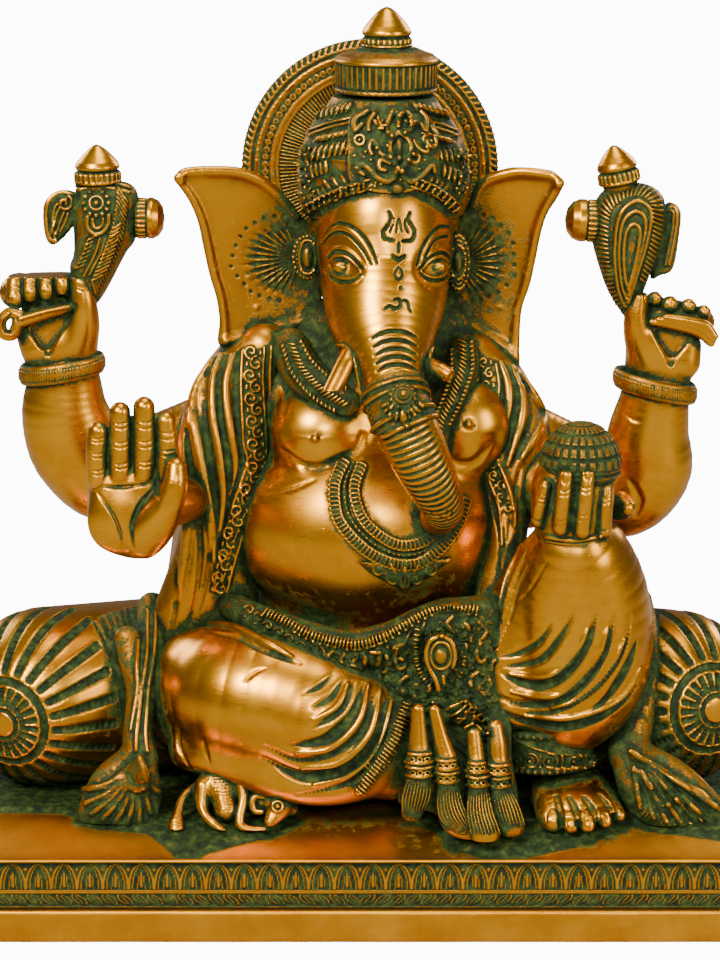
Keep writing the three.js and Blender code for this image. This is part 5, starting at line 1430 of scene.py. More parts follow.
def make_raised_leg():
    c = Clay((52, -96, 62), (150, 2, 200), 0.7)
    c.bar([(102.6, -58, 181.1, 22, 22), (103.9, -55, 173.4, 27, 25), (105.4, -50, 155.3, 33, 29),
           (105.5, -46, 131.8, 35.5, 33),
           (102.5, -44, 111.7, 32, 31), (97.9, -43, 100.3, 23, 24)], soft=0)
    c.bar([(86.3, -44, 175.5, 10, 14), (76.9, -44, 153.7, 14, 18), (71.3, -46, 129.3, 16, 20),
           (72.3, -50, 105.4, 14, 18)], soft=7)
    grooves = (
        ([(94.1, -70.6), (87.7, -79.4), (78.4, -84.8), (68.6, -86.7)], 1.6),
        ([(105.3, -65.2), (97, -78.9), (87.2, -88.7), (68.6, -91.6)], 1.9),
        ([(116.1, -66.2), (110.7, -81.3), (100.5, -94.6), (88.7, -100.9), (77.4, -98.5), (68.6, -94.1)],
         3.1),
        ([(124.5, -67.1), (120, -84.3), (109.3, -99.5), (95.5, -108.8), (79.4, -109.8), (67.6, -106.3)],
         2.8),
        ([(132.8, -66.2), (130.3, -79.9), (123, -93.6), (112.2, -104.9), (96, -113.2), (77.4, -114.2)],
         1.7),
        ([(136.2, -76.4), (131.3, -90.6), (122.5, -104.9), (113.7, -113.2)], 2.4),
        ([(135.2, -101.9), (127.4, -109.8), (115.6, -116.6), (100.5, -120.5), (82.3, -118.6),
          (68.6, -113.7)], 3.2),
    )
    for line, r in grooves:
        c.draw(line, r, lift=0.5, soft=1.3, cut=True, taper=0.72)
    for line, r in (([(111.2, -73.5), (103.9, -88.2), (90.6, -96), (73.5, -95.1)], 1.5),
                    ([(121, -73.5), (115.1, -90.2), (103.9, -101.9), (90.6, -106.3), (74.5, -103.9)], 1.5),
                    ([(129.4, -78.4), (121.5, -94.1), (109.8, -106.3), (94.1, -111.7)], 1.3),
                    ([(137.2, -92.1), (129.4, -104.9), (117.6, -112.2), (100.9, -116.6), (81.3, -115.6)],
                     1.6),
                    ([(82.3, -33.3), (74.5, -51), (70.1, -67.6)], 1.6),
                    ([(78.9, -31.8), (71.5, -49), (67.6, -64.7)], 1.2)):
        c.draw(line, r, lift=0.4, soft=1.4, taper=0.6)
    c.draw([(85.8, -35.3), (77.9, -51.9), (73, -69.6)], 1.2, lift=0.3, soft=0.8, cut=True, taper=0.6)
    c.draw([(92.1, -39.2), (83.3, -53.9), (75.5, -61.7)], 0.8, lift=0.2, soft=0.6, cut=True, taper=0.8)
    return c, painted(grooves, behind=-30)


def make_hem():
    c = Clay((58, -80, 62), (126, -14, 100), 0.45)
    at = np.array((94.0, -44, 0))
    low, high = 71.7, 92.8
    lean = (-0.04, 0.03, 1)
    c.turned([(low, 23), (low + 1.5, 24), (low + 4, 23), (high - 4, 24), (high - 1.5, 25.5), (high, 24.5)],
             at, lean, soft=0)
    for h in (low + 1.8, high - 2.0):
        c.turned([(h - 1.6, 24.4), (h, 25.6), (h + 1.6, 24.6)], at, lean, soft=0.3, waves=lambda a,
                 t: 0.6 * np.cos(a * 44))
    for line in ([(75.5, -126.9), (88.2, -132.3), (103.9, -134.8), (116.6, -135.7)],
                 [(78.4, -141.1), (94.1, -141.6), (107.8, -141.1), (116.6, -139.7)]):
        c.draw(line, 0.7, lift=0.3)
    for x, r in ((83.8, 4.0), (92.9, 4.3), (105.1, 4.3), (114.7, 3.0), (76.4, 3.0)):
        at = (x, -137.9)
        c.draw(spiral(at, r, 1.9, 100, -1, 34), 0.72, lift=0.4)
        c.ring(at, 0.8, 0.5, lift=0.3)
    for x in (88.4, 99, 110.2):
        c.draw([(x, -134.8), (x, -141.1)], 0.7, lift=0.4)
    return c


def make_foot():
    c = Clay((72, -96, DECK - 1), (134, -34, 80), 0.5)
    c.bar([(101.2, -44, 63.1, 17, 9), (103.2, -60, 59.2, 21, 9), (104.8, -66, 57.1, 20, 5.5)], thin=UP,
          soft=0)
    for stops in (
        [(89, -64, 60.5, 6.4, 6), (90.5, -74, 55.8, 6.2, 5.6), (92.2, -79, 53.4, 5.4, 4.8)],
        [(97.6, -66, 62.2, 4, 4), (99.3, -78, 56.1, 4.0, 4.0), (100.5, -83, 52.8, 3.7, 3.6)],
        [(105.7, -66, 62.2, 4, 4), (107.5, -78, 56.6, 4.0, 4.0), (108.4, -83, 53.3, 3.7, 3.6)],
        [(112.6, -64, 61.5, 3.8, 4), (115.8, -75, 56.6, 3.7, 3.8), (117, -79, 53.9, 3.4, 3.4)],
        [(119.6, -60, 60.2, 3.6, 4), (122.8, -70, 56.9, 3.4, 3.6), (124.2, -74, 55.2, 3.1, 3.2)],
    ):
        c.bar(stops, soft=1.2)
    for line in ([(96, -154.8), (98, -162.7), (98.5, -169.5)],
                 [(102.4, -155.3), (105.8, -162.2), (107.1, -169.5)],
                 [(109.8, -155.3), (114.2, -161.7), (116.1, -168.1)],
                 [(117.6, -154.3), (122, -159.7), (124, -165.1)]):
        c.draw(line, 2.0, lift=0.3, soft=0.6, cut=True, taper=0.3)
    for (x, h), r in (((94.6, -165.6), 3.2), ((103.4, -168.6), 1.9), ((111.5, -168.1), 2.0),
                      ((119.8, -166.1), 1.8), ((126.9, -162.7), 1.6)):
        c.draw([(x - r, h - r * 0.7), (x - r * 0.95, h + r * 0.7), (x, h + r * 1.5),
                (x + r * 0.95, h + r * 0.7), (x + r, h - r * 0.7)], 0.42, 0.1, 0.2, cut=True)
        for k in (2.2, 3.0):
            c.draw(crease(x - r, h + r * k, x + r, -r * 0.4), 0.4, 0.1, 0.25, cut=True, taper=0.3)
    c.slab((60, -110, -20), (140, -20, DECK - 0.6), cut=True)
    return c


# ---------- necklaces, collars and belt ----------
def make_necklace(torso):
    c = Clay((-18, -84, 150), (66, -28, 224), 0.45)
    c.base = torso
    outer = [(-7.3, 8.8), (-11.3, 0), (-12.2, -7.8), (-10.3, -19.1), (-2.9, -28.9), (6.4, -36.3),
             (18.1, -40.7), (29.4, -39.7), (39.7, -31.8),
             (47, -21.6), (51, -9.8)]
    inner = [(1, 6.9), (-2.5, -4.4), (0.5, -17.1), (8.3, -26), (19.6, -31.6), (31.4, -29.4), (39.2, -21.6),
             (44.1, -9.8)]
    c.draw(outer, 3.4, lift=-0.9, soft=0.5)
    c.draw(inner, 3.2, lift=-0.8, soft=0.5)
    for line, half in ((outer, 2.0), (inner, 1.8)):
        c.stitches(line, half, 2.0, 0.75, slant=88, lift=2.4)
        for shift in (-1, 1):
            fine = spline(line, 60)
            way = np.gradient(fine, axis=0)
            way /= np.linalg.norm(way, axis=1, keepdims=True)
            c.draw(fine + shift * half * 1.25 * np.stack([-way[:, 1], way[:, 0]], 1), 0.6, lift=2.0,
                   soft=0.3)
    middle = (spline(outer, 40) + spline(inner, 40)) / 2
    c.draw(middle, 1.3, lift=0.5, soft=0.5)
    c.beads(middle, 0.95, 2.4, lift=1.4)
    return c


def make_pendant(torso):
    c = Clay((-14, -86, 134), (58, -40, 176), 0.45)
    c.base = torso
    c.draw([(1, -35.3), (9.8, -43.1), (21.6, -46.1), (34.3, -42.1), (43.1, -34.3)], 6.0, lift=-3.6,
           soft=0.6)
    c.draw([(12.2, -45.1), (21.6, -49), (31.4, -45.1)], 5.5, lift=-3.4, soft=0.8)
    for at, r, start, hand in (((2.9, -37.7), 3.2, 60, 1), ((9.3, -43.1), 3.4, 80, 1),
                               ((16.2, -47.5), 3.2, 100, 1), ((26.9, -47.5), 3.2, 80, -1),
                               ((33.8, -43.1), 3.4, 100, -1), ((40.7, -37.2), 3.2, 120, -1)):
        c.draw(spiral(at, r, 1.4, start, hand, 24), 0.85, lift=1.9)
    for line in ([(21.6, -42.1), (19.6, -48), (21.6, -53.9), (23.5, -48), (21.6, -42.1)],
                 [(21.6, -44.1), (21.6, -51.9)],
                 [(14.7, -40.2), (17.6, -45.1)], [(28.4, -40.2), (25.5, -45.1)],
                 [(5.9, -33.3), (8.8, -37.7)], [(37.2, -33.3), (34.3, -37.7)]):
        c.draw(line, 0.8, lift=2.2)
    return c


def make_collar(torso, left):
    if left:
        c = Clay((-50, -62, 236), (2, 8, 296), 0.5)
        c.base = torso
        path = [(-33.8, -10, 271.5, 9, 4), (-28.8, -20, 262.6, 10, 3.5), (-19.1, -30, 254.9, 9.5, 3.2),
                (-6.7, -37, 249.5, 7, 3)]
        c.bar(path, soft=0)
        c.base = c
        lines = [(-33.3, 66.2), (-27.9, 53.9), (-17.6, 43.6), (-7.3, 37.2)], [(-28.9, 67.6), (-23, 57.8),
            (-14.7, 50), (-6.9, 45.1)], [(-37.7, 65.7), (-33.3, 52.9), (-23.5, 41.2), (-12.7, 34.3)]
    else:
        c = Clay((22, -62, 222), (74, 8, 290), 0.5)
        c.base = torso
        path = [(50.3, -8, 269.1, 8, 4), (49.1, -18, 261.3, 8.5, 3.5), (44, -29, 250.7, 8, 3.2),
                (38.2, -37, 238.7, 6, 3), (36.7, -40, 227.7, 4.5, 2.6)]
        c.bar(path, soft=0)
        c.base = c
        lines = [(50, 67.6), (50, 54.9), (45.1, 41.2), (39.2, 27.4), (38.2, 14.7)], [(54.4, 67.6),
            (54.9, 54.9), (50, 40.2), (43.6, 27.4)], [(45.1, 63.7), (44.6, 51.9), (40.7, 40.2),
                                                      (35.8, 29.4)]
    c.stitches(lines[0], 1.9, 1.9, 0.7, slant=60, lift=0.5)
    for line in lines[1:]:
        c.draw(line, 0.9, lift=0.4)
        c.stitches(line, 1.4, 2.1, 0.6, slant=-60, lift=0.3)
    return c


BELT = [(-62.3, -26, 145.9, 7, 6), (-47.2, -42, 142.2, 8, 6), (-28.7, -54, 138.6, 8.5, 6),
        (-7.2, -62, 134.8, 9, 6.5),
        (14.3, -66, 139.9, 9, 6.5), (33.2, -66, 148.8, 9, 6), (56.3, -58, 151.5, 8.5, 6),
        (65.4, -46, 148.3, 7, 6)]


def make_belt():
    c = Clay((-80, -94, DECK - 1), (80, -14, 158), 0.55)
    c.bar(BELT, soft=0)
    apron = [(-29.4, -76.4), (-14.7, -92.1), (2.9, -100), (15.7, -104.9), (21.6, -118.6), (32.3, -113.7),
             (42.1, -117.6), (54.9, -119.6), (66.6, -110.7), (70.1, -88.2), (65.7, -63.7),
             (39.2, -60.8), (9.8, -78.4), (-9.8, -81.3)]
    c.plate(closed(apron, -68), lambda x, z: -66 + 0.0022 * (x - 34) ** 2 * 3 + 0.10 * (z - 110), 5.5,
            soft=4, edge=2.5)
    behind = [(23.5, -107.8), (68.6, -107.8), (74.5, -137.2), (76.4, -164.2), (53.9, -169.5),
              (34.3, -160.7), (19.6, -156.8), (16.7, -137.2)]
    c.plate(closed(behind, -66), lambda x, z: -62 + 0.14 * (z - 100), 6, soft=3, edge=2.5)
    strand = [(-46.1, -65.2), (-33.3, -71), (-24.5, -75.5), (-10.3, -79.4), (-0.5, -80.1), (11.8, -76.4),
              (20.6, -71.5), (31.4, -65.2), (42.1, -61.7), (56.8, -63.2)]
    c.draw(strand, 1.5, lift=0.2, soft=0.4)
    c.stitches(strand, 1.3, 1.75, 0.7, slant=84, lift=1.3)
    c.draw([(x, h - 2.6) for x, h in strand], 0.6, lift=0.5)
    filigree(c, [(-60.8, -61.7), (-47, -69.6), (-29.4, -78.4), (-7.3, -83.3), (15.7, -79.4), (34.3, -70.6),
                 (53.9, -64.7), (67.6, -66.6), (68.6, -88.2), (67.6, -110.7),
                 (53.9, -117.6), (42.1, -115.6), (32.3, -111.7), (21.6, -115.6), (15.7, -103.9),
                 (-14.7, -90.2), (-31.4, -83.3), (-53.9, -71.5)], 4.3, 0.95, 0.5, 11)
    for k in range(8):
        c.draw([(21.6, -113.7), (20.6 + k * 7.0, -137.2), (19.6 + k * 7.6, -159.7)], 1.3, lift=0.2,
               soft=0.9, taper=0.3)
    drops = ((-53.9, -64.2), (-49, -67.6), (-44.6, -71.5), (-39.2, -74.5), (-34.3, -77.9), (-28.4, -81.3))
    for x, h in drops:
        c.draw(spiral((x, h), 2.7, 0.95, 150, -1, 16), 0.85, lift=0.6)
        c.stud((x - 2.2, h - 2.6), 0.7, lift=0.4)
    c.ring((-21.6, -84.8), 4.4, 0.95, lift=0.5)
    c.stud((-21.6, -84.8), 2.4, lift=0.9)
    scrolls = (
        [(-12.7, -83.3), (-16.2, -86.7), (-14.2, -92.1), (-9.3, -92.1), (-8.8, -88.7)],
        [(-7.3, -84.3), (-9.3, -88.2), (-5.9, -91.1), (-3.4, -88.7)],
        [(-3.9, -90.2), (1, -92.1), (1, -97), (-2.5, -99)], [(1, -84.3), (2.9, -86.2), (2, -90.2)],
        [(5.4, -84.3), (9.8, -84.3), (8.3, -90.2), (5.4, -92.1)],
        [(18.6, -82.3), (16.7, -87.2), (20.1, -92.1), (22.5, -88.7), (19.6, -86.7)],
        [(5.9, -96), (9.3, -94.1), (9.8, -99)],
        [(-9.8, -94.1), (-6.9, -97), (-9.3, -98.5)], [(12.7, -85.3), (14.7, -90.2), (11.8, -94.1)],
        [(24.5, -74.5), (21.6, -79.4), (16.7, -82.3)],
        [(57.8, -94.1), (53.9, -97), (54.9, -102.9), (58.3, -100.9)],
        [(60.8, -78.4), (56.8, -83.3), (58.8, -89.2), (62.2, -86.2)],
        [(50, -68.6), (52.9, -73.5), (49, -77.4)], [(57.8, -69.6), (61.7, -73.5), (58.8, -78.4)],
        [(45.1, -66.6), (42.1, -70.6), (46.1, -74.5)],
        [(23.5, -96), (19.6, -99), (18.6, -104.9)], [(31.4, -69.6), (29.4, -74.5), (25.5, -78.4)],
    )
    for line in scrolls:
        c.draw(line, 1.3, lift=0.8, soft=0.3, taper=0.35)
    for at, r in (((21.6, -103.4), 2.6), ((7.6, -97.5), 1.7), ((13.7, -81.3), 1.5), ((31.4, -107.8), 1.3),
                  ((51.9, -81.3), 1.1)):
        c.stud(at, r, lift=0.6)
    left_beads = [(27.9, -74), (27.4, -83.3), (29.4, -93.1), (34.8, -101.9)]
    c.draw(left_beads, 1.0, lift=0.2)
    c.stitches(left_beads, 1.3, 1.7, 0.65, slant=88, lift=0.9)
    c.stitches([(50.5, -78.4), (51, -88.2), (48, -98)], 1.3, 1.8, 0.6, slant=88, lift=0.5)
    c.draw([(34.8, -101.9), (31.4, -106.3), (27.4, -107.3), (26.5, -104.9)], 1.1, lift=0.7)
    knot = [(35.8, -108.8), (40.7, -109.8), (44.1, -113.7), (41.6, -118.1), (38.2, -117.1)]
    c.draw(knot, 1.4, lift=0.9, soft=0.4, taper=0.3)
    leaf = [(46.5, -110.7), (51.9, -115.1), (57.8, -121), (62.2, -125)]
    c.draw(leaf, 3.4, lift=0.8, soft=0.8)
    c.stitches(leaf, 3.0, 2.1, 0.8, slant=62, lift=3.6)
    c.draw([(50, -107.8), (55.9, -112.2), (62.7, -118.6), (64.2, -124.5)], 1.2, lift=0.9)
    return c


def make_medallion():
    c = Clay((24, -98, 104), (56, -58, 156), 0.4)
    frame_line = [(33.3, -76.4), (39.7, -75.5), (45.6, -79.4), (46.5, -86.2), (44.1, -92.1), (41.2, -99),
                  (39.2, -102.9), (36.8, -100), (34.3, -92.1), (31.8, -84.3)]
    c.plate(closed(frame_line, -74), -74, 4, soft=0, edge=1.6)
    c.draw([(39.7, -76.4), (34.3, -78.9), (32.8, -85.8), (34.8, -92.6), (37.7, -99), (38.7, -104.9),
            (36.3, -105.3)], 1.2, lift=0.6)
    c.draw([(39.7, -76.4), (44.6, -79.9), (46.1, -86.2), (44.6, -92.1), (43.1, -98), (43.6, -103.9)], 1.2,
           lift=0.6)
    c.ring((39.7, -85.8), 5.0, 0.9, lift=0.6, squash=1.32)
    spots, _ = c.land([(39.7, -85.8)])
    c.blob(spots[0] + (0, 0.4, 0), (3.7, 3.4, 5.0), soft=0.3)
    c.draw([(40.7, -96), (40.9, -100.9)], 1.0, lift=0.4)
    c.stitches([(34.3, -75.5), (39.7, -73), (45.1, -76)], 1.3, 1.8, 0.65, slant=88, lift=0.4)
    return c


def make_tassel(i):
    spec = (
        (((28.4, -112.7, 3.2), (28.7, -122.5, 4.2), (28.9, -132.3, 5.4)), (29.2, -136.5, 6.4),
         (29.4, -143.1, 6.2), ((28.4, -148, 5.9), (26.9, -155.8, 6.4), (25.5, -162.7, 5.1)), -84, -88),
        (((36.3, -112.7, 2.7), (39.2, -125, 3.7), (42.1, -135.7, 4.9)), (42.4, -139.7, 5.3),
         (42.6, -146, 5.2), ((43.1, -150.9, 4.9), (43.6, -158.8, 5.9), (46.5, -166.6, 6.9),
                             (53.4, -173.5, 4.9)), -84, -90),
        (((55.9, -124.5, 3.4), (56.4, -131.3, 3.8), (56.8, -137.2, 4.1)), (57.1, -141.1, 4.9),
         (57.6, -148, 4.9), ((57.8, -152.9, 4.7), (58.3, -162.7, 5.9), (61.2, -173.5, 7.3)), -82, -92),
        (((66.2, -121.5, 3.9), (67.1, -129.8, 4.8), (67.6, -138.2, 5.2)), (67.4, -142.1, 5.4),
         (67.6, -148.5, 5.2), ((68.6, -152.9, 5.1), (71, -160.7, 6.4), (73.5, -169.5, 6.9)), -78, -86),
    )[i]
    neck, collar, collar2, skirt, top_y, low_y = spec
    every = [*neck, collar, collar2, *skirt]
    top, low = every[0][1], every[-1][1]

    def solid(stop):
        x, h, r = stop
        y = top_y + (low_y - top_y) * (h - top) / (low - top)
        (x, z), = at_depth([(x, h)], y)
        return (x, y, max(z, DECK + 1.5), r, r * 0.82)

    spots = np.array([solid(s)[:3] for s in every])
    c = Clay(spots.min(0) - (10, 10, 6), spots.max(0) + (10, 10, 6), 0.4)
    c.bar([solid(s) for s in neck], soft=0)
    c.bar([solid(s) for s in (neck[-1], collar, collar2, skirt[0])], soft=0.5)
    c.bar([solid(s) for s in skirt], soft=0.6)
    for x, h, r in (collar, collar2):
        for rise in (2.25, -1.96):
            c.draw([(x - r, h + rise + 0.6), (x, h + rise - 0.5), (x + r, h + rise + 0.6)], 0.85, lift=0.5,
                   soft=0.3)
        for k in (-0.55, 0, 0.55):
            c.ring((x + r * k, h - 0.5), 1.25, 0.5, lift=0.4)
    for k in np.linspace(-0.95, 0.95, 9):
        line = [(x + r * k, h) for x, h, r in skirt]
        c.draw(line, 0.5, lift=0.2, soft=0.3, cut=True, taper=0.5)
        mid = [(x + 0.45, h) for x, h in line]
        c.draw(mid, 0.5, lift=0.35, soft=0.3, taper=0.6)
    c.slab((-10, -120, -20), (110, -40, DECK - 0.6), cut=True)
    return c


# ---------- bolsters and cloths ----------
def make_bolster(left):
    s = -1 if left else 1
    heart = np.array([155.0 * s, -5, 94])
    size = 44.5 if left else 43.0
    axis = unit((0.42 * s, -0.90, -0.06 if left else 0.10))
    low = (-206, -56, DECK - 1) if left else (52, -56, DECK - 1)
    high = (-50, 74, 152) if left else (206, 74, 152)
    c = Clay(low, high, 0.85)
    c.bar([(*heart, size), (107 * s, 18, 93, size - 1)], soft=0)
    side = unit(np.cross(axis, UP))
    other = np.cross(side, axis)

    def gathers(x, y, z):
        q = [(x - heart[0]) * v[0] + (y - heart[1]) * v[1] + (z - heart[2]) * v[2] for v in (axis, side,
            other)]
        rho = np.sqrt(q[1] ** 2 + q[2] ** 2)
        a = np.arctan2(q[2], q[1])
        lobes = np.abs((a * 22 / (2 * math.pi) + (0.2 if left else 0.35)) % 1
                       - 0.5) * 2 * math.pi * rho / 22
        width = 0.9 + rho * 0.020
        groove = smoothstep(width + 1.0, width - 0.5, lobes)
        span = smoothstep(22.5, 25, rho) * smoothstep(size + 3, size, rho) + smoothstep(8.5, 10,
            rho) * smoothstep(18.5, 17, rho)
        ribs = 0.6 * np.cos(rho * 3.1)
        ring = smoothstep(2.1, 1.2, np.abs(rho - 20.6)) + 0.8 * smoothstep(1.4, 0.7, np.abs(rho - 7.4))
        return ((-1.6 + ribs) * groove * span - 1.7 * ring) * (q[0] > -14)

    c.raise_by(low, high, gathers)
    # Flat where it rests on the plinth.
    c.slab((-210, -60, -20), (210, 80, DECK - 0.6), cut=True)
    return c, lambda p: np.clip(0.10 - 0.62 * gathers(*p.T), -0.1, 1.0)


def make_tied_cloth_left(bolster):
    c = Clay((-140, -82, DECK - 1), (-74, 20, 152), 0.6)
    c.base = bolster
    knot = (-107.3, -102.9)
    for x, h in ((-128.9, -70.6), (-125.4, -67.6), (-122, -66.2), (-118.6, -65.2), (-115.1, -64.2),
                 (-111.7, -63.2), (-108.3, -62.2), (-104.9, -61.2), (-101.4, -59.8), (-98, -57.8)):
        c.draw([(x, h), (0.55 * x + 0.45 * knot[0], 0.5 * (h + knot[1])), knot], 2.1, lift=0.3, soft=0.8,
               taper=0.2)
    c.base = c
    c.bar([(-102.4, -6, 140.5, 7, 6), (-102.6, -24, 123.1, 8, 7), (-105.2, -40, 107.5, 7.5, 7),
           (-107.3, -50, 91.3, 7, 7), (-106.1, -56, 77.1, 9, 8)], soft=2)
    c.bar([(-113.1, -26, 128.7, 7, 5), (-108.8, -36, 115.4, 7, 6), (-106.2, -40, 106.5, 6, 6)], soft=3)
    for line in ([(-103.9, -63.7), (-104.4, -83.3), (-106.8, -102.9), (-109.3, -122.5), (-109.8, -133.3)],
                 [(-100, -64.7), (-100.9, -83.3), (-103.9, -102.9), (-105.3, -122.5), (-104.4, -133.3)],
                 [(-108.8, -78.4), (-109.3, -90.6), (-108.8, -102.9), (-112.2, -122.5)]):
        c.draw(line, 1.3, lift=0.5, soft=0.6, taper=0.4)
    tips = ((-136.2, -151.9), (-134.3, -158.3), (-131.3, -163.2), (-125.9, -165.6), (-120, -167.6),
            (-114.2, -168.6), (-108.3, -169), (-102.9, -162.7), (-99, -152.9))
    c.bar([(-105.9, -50, 83.3, 5, 5), (-109.6, -56, 72, 12, 7), (-113.7, -62, 61.8, 18, 8),
           (-116.4, -67, 53.4, 19, 5)], soft=2)
    for i, end in enumerate(tips):
        bend = (0.5 * (end[0] + -107.8), 0.5 * (end[1] + -145))
        c.draw([(-107.8, -136.2), bend, end], 1.9, lift=0.3, soft=1.0, taper=0.2)
        c.draw([((-107.8, -139.2)[0] + 0.3 * i, (-107.8, -139.2)[1]), (bend[0] + 1.6, bend[1]),
                (end[0] + 3.0, end[1])], 0.9, lift=0.3, soft=0.4, cut=True, taper=0.3)
    for k in range(9):
        c.draw([(-131.3 + k * 1.5, -148 - k * 1.6), (-121.5 + k * 1.2, -149.9 - k * 1.4)], 0.45, lift=0.2,
               soft=0.25, cut=True, taper=0.4)
    c.slab((-160, -110, -20), (-60, 40, DECK - 0.6), cut=True)
    return c


def make_tied_cloth_right():
    c = Clay((112, -90, DECK - 1), (184, 20, 152), 0.6)
    c.bar([(138.1, -2, 142.5, 6, 6), (140.2, -30, 119.7, 8, 7), (133.6, -46, 94.1, 9, 8),
           (129.4, -54, 80.5, 9, 8)], soft=0)
    c.bar([(129.4, -54, 80.5, 9, 8), (137.1, -64, 64.5, 12, 8), (148, -68, 53.2, 11, 7),
           (155.8, -68, 47.7, 8, 5)], soft=3)
    c.bar([(135.4, -52, 77.8, 8, 8), (150.4, -60, 66.2, 12, 7), (163.8, -64, 53.4, 12, 6),
           (172.6, -64, 46.3, 8, 4)], soft=3)
    lips = ([(133.8, -141.1), (138.2, -143.6), (141.6, -148), (143.6, -153.4)],
            [(147.5, -159.7), (151.9, -158.3), (156.8, -155.8), (161.7, -158.3), (164.6, -162.7),
             (167.6, -167.6), (176.4, -171)],
            [(137.2, -136.2), (148, -142.1), (156.8, -148), (166.6, -152.9), (174.4, -159.7)])
    for line in lips:
        c.draw(line, 1.5, lift=0.9, soft=0.7, taper=0.4)
    for line, r in (([(137.2, -148), (142.1, -156.8), (148, -162.7)], 3.0),
                    ([(145, -151.9), (150.9, -154.8), (154.8, -152.9)], 3.0),
                    ([(158.8, -160.7), (161.7, -165.6), (166.6, -169.5)], 2.4)):
        c.draw(line, r, lift=0.4, soft=1.4, cut=True, taper=0.5)
    c.stitches([(139.2, -162.7), (147, -166.6), (157.8, -170.5)], 2.0, 1.7, 0.55, slant=80, lift=0.5)
    c.stitches([(135.2, -149.9), (140.1, -159.7), (149, -163.7)], 2.4, 1.7, 0.5, slant=80, lift=0.2)
    for end in ((137.2, -160.7), (144.1, -165.6), (150.9, -168.6), (158.8, -170.5), (166.6, -169.5),
                (174.4, -170.5), (177.4, -162.7)):
        bend = (0.45 * end[0] + 0.55 * 133.3, 0.45 * end[1] + 0.55 * -135.2 + 1.5)
        c.draw([(132.3, -132.3), bend, end], 1.5, lift=0.2, soft=1.0, taper=0.3)
        c.draw([(133.8, -133.3), (bend[0] + 2.2, bend[1] + 0.6), (end[0] + 3.4, end[1] + 0.8)], 1.3,
               lift=0.5, soft=0.6, cut=True, taper=0.4)
    for k in range(6):
        c.draw([(130.3, -128.4), (131.3 + k * 1.9, -137.2), (137.2 + k * 3.2, -145 - k * 0.8)], 0.5,
               lift=0.2, cut=True, taper=0.5)
        c.draw([(163.7 + k * 1.6, -154.8 - k), (167.6 + k * 1.6, -162.7 - k * 0.8),
                (172.5 + k * 1.2, -168.6 - k * 0.3)], 0.45, lift=0.15, cut=True, taper=0.5)
    c.slab((100, -110, -20), (190, 40, DECK - 0.6), cut=True)
    return c


def make_mouse():
    c = Clay((-100, -96, DECK - 1), (-28, -48, 86), 0.42)
    c.bar([(-75.6, -62, 60.8, 5.6, 7), (-70.8, -62, 65.9, 8.2, 8), (-64.5, -62, 65.9, 8.6, 8),
           (-57.8, -62, 63.9, 6.4, 7), (-49.2, -62, 58.8, 5, 6), (-42.4, -64, 57.5, 6, 6)], soft=0)
    c.bar([(-66.3, -66, 65.2, 5.6), (-64.2, -72, 57.1, 5.6)], soft=2.5)
    c.bar([(-75.4, -66, 67.2, 4), (-75.8, -70, 59.4, 3.0), (-73.7, -74, 54.7, 2.2), (-69.8, -77, 51.7, 2.4),
           (-65, -79, 48.4, 1.8)], soft=1.2)
    c.bar([(-56.6, -68, 68.8, 3.4), (-56, -72, 62.1, 2.5), (-57.4, -76, 55.4, 2.3), (-56.9, -78, 51.1, 2.4),
           (-51.6, -79, 49.4, 2.1), (-46.3, -79, 49.4, 1.8)], soft=1.0)
    c.bar([(-41.2, -70, 59.4, 6.2, 5), (-38.3, -72, 59.1, 6.0, 5), (-41.1, -76, 55.4, 4.2, 4),
           (-43, -78, 53.1, 2.8, 3)], soft=1.2)
    c.bar([(-36.5, -66, 60.1, 5, 5), (-33.6, -68, 56.8, 4, 4)], soft=2)
    c.ring((-40.4, -160), 2.5, 0.75, lift=0.3)
    c.stud((-40.4, -160), 1.3, lift=0.3)
    ear = [(-46, -72, 63.6, 1.4), (-49.8, -72, 64.1, 1.7), (-51.7, -73, 60.9, 1.7), (-50.3, -74, 57.3, 1.6),
           (-46.9, -75, 57.1, 1.4)]
    c.bar(ear, soft=0.6)
    c.bar([(-51.8, -70, 60.5, 3.4, 1.6), (-47, -71, 59.8, 4, 1.6)], soft=0.6)
    c.draw([(-50.5, -156.8), (-51, -159.7), (-48.5, -161.2)], 0.9, lift=0.3, soft=0.4, cut=True)
    c.bar([(-79, -62, 64.9, 2.6), (-84.6, -66, 62.2, 2.0), (-87.2, -72, 56.1, 2.2), (-88.1, -76, 49.4, 4.0),
           (-86.1, -79, 44.4, 3.8), (-83, -83, 41.2, 2.0)], soft=0.8)
    for k in range(9):
        c.draw([(-74.5 + k * 1.6, -146), (-75.5 + k * 1.7, -151.9), (-73 + k * 1.35, -157.8)], 0.28,
               lift=0.05, soft=0.15, cut=True)
    for k in range(12):
        h = -145 - k * 1.6
        c.draw([(-71.5, h), (-62.7, h + 0.8)], 0.3, lift=0.05, soft=0.15, cut=True)
        c.draw([(-92.6, -167.6 - k * 1.0), (-85.8, -165.6 - k * 1.05)], 0.28, lift=0.05, soft=0.15,
               cut=True)
    c.slab((-110, -110, -20), (-20, -30, DECK - 0.6), cut=True)
    return c


# ---------- plinth ----------
PLINTH = (450.0, 200.0)
EDGE_Z = 41.0
DECK_HALF = (222, 97)


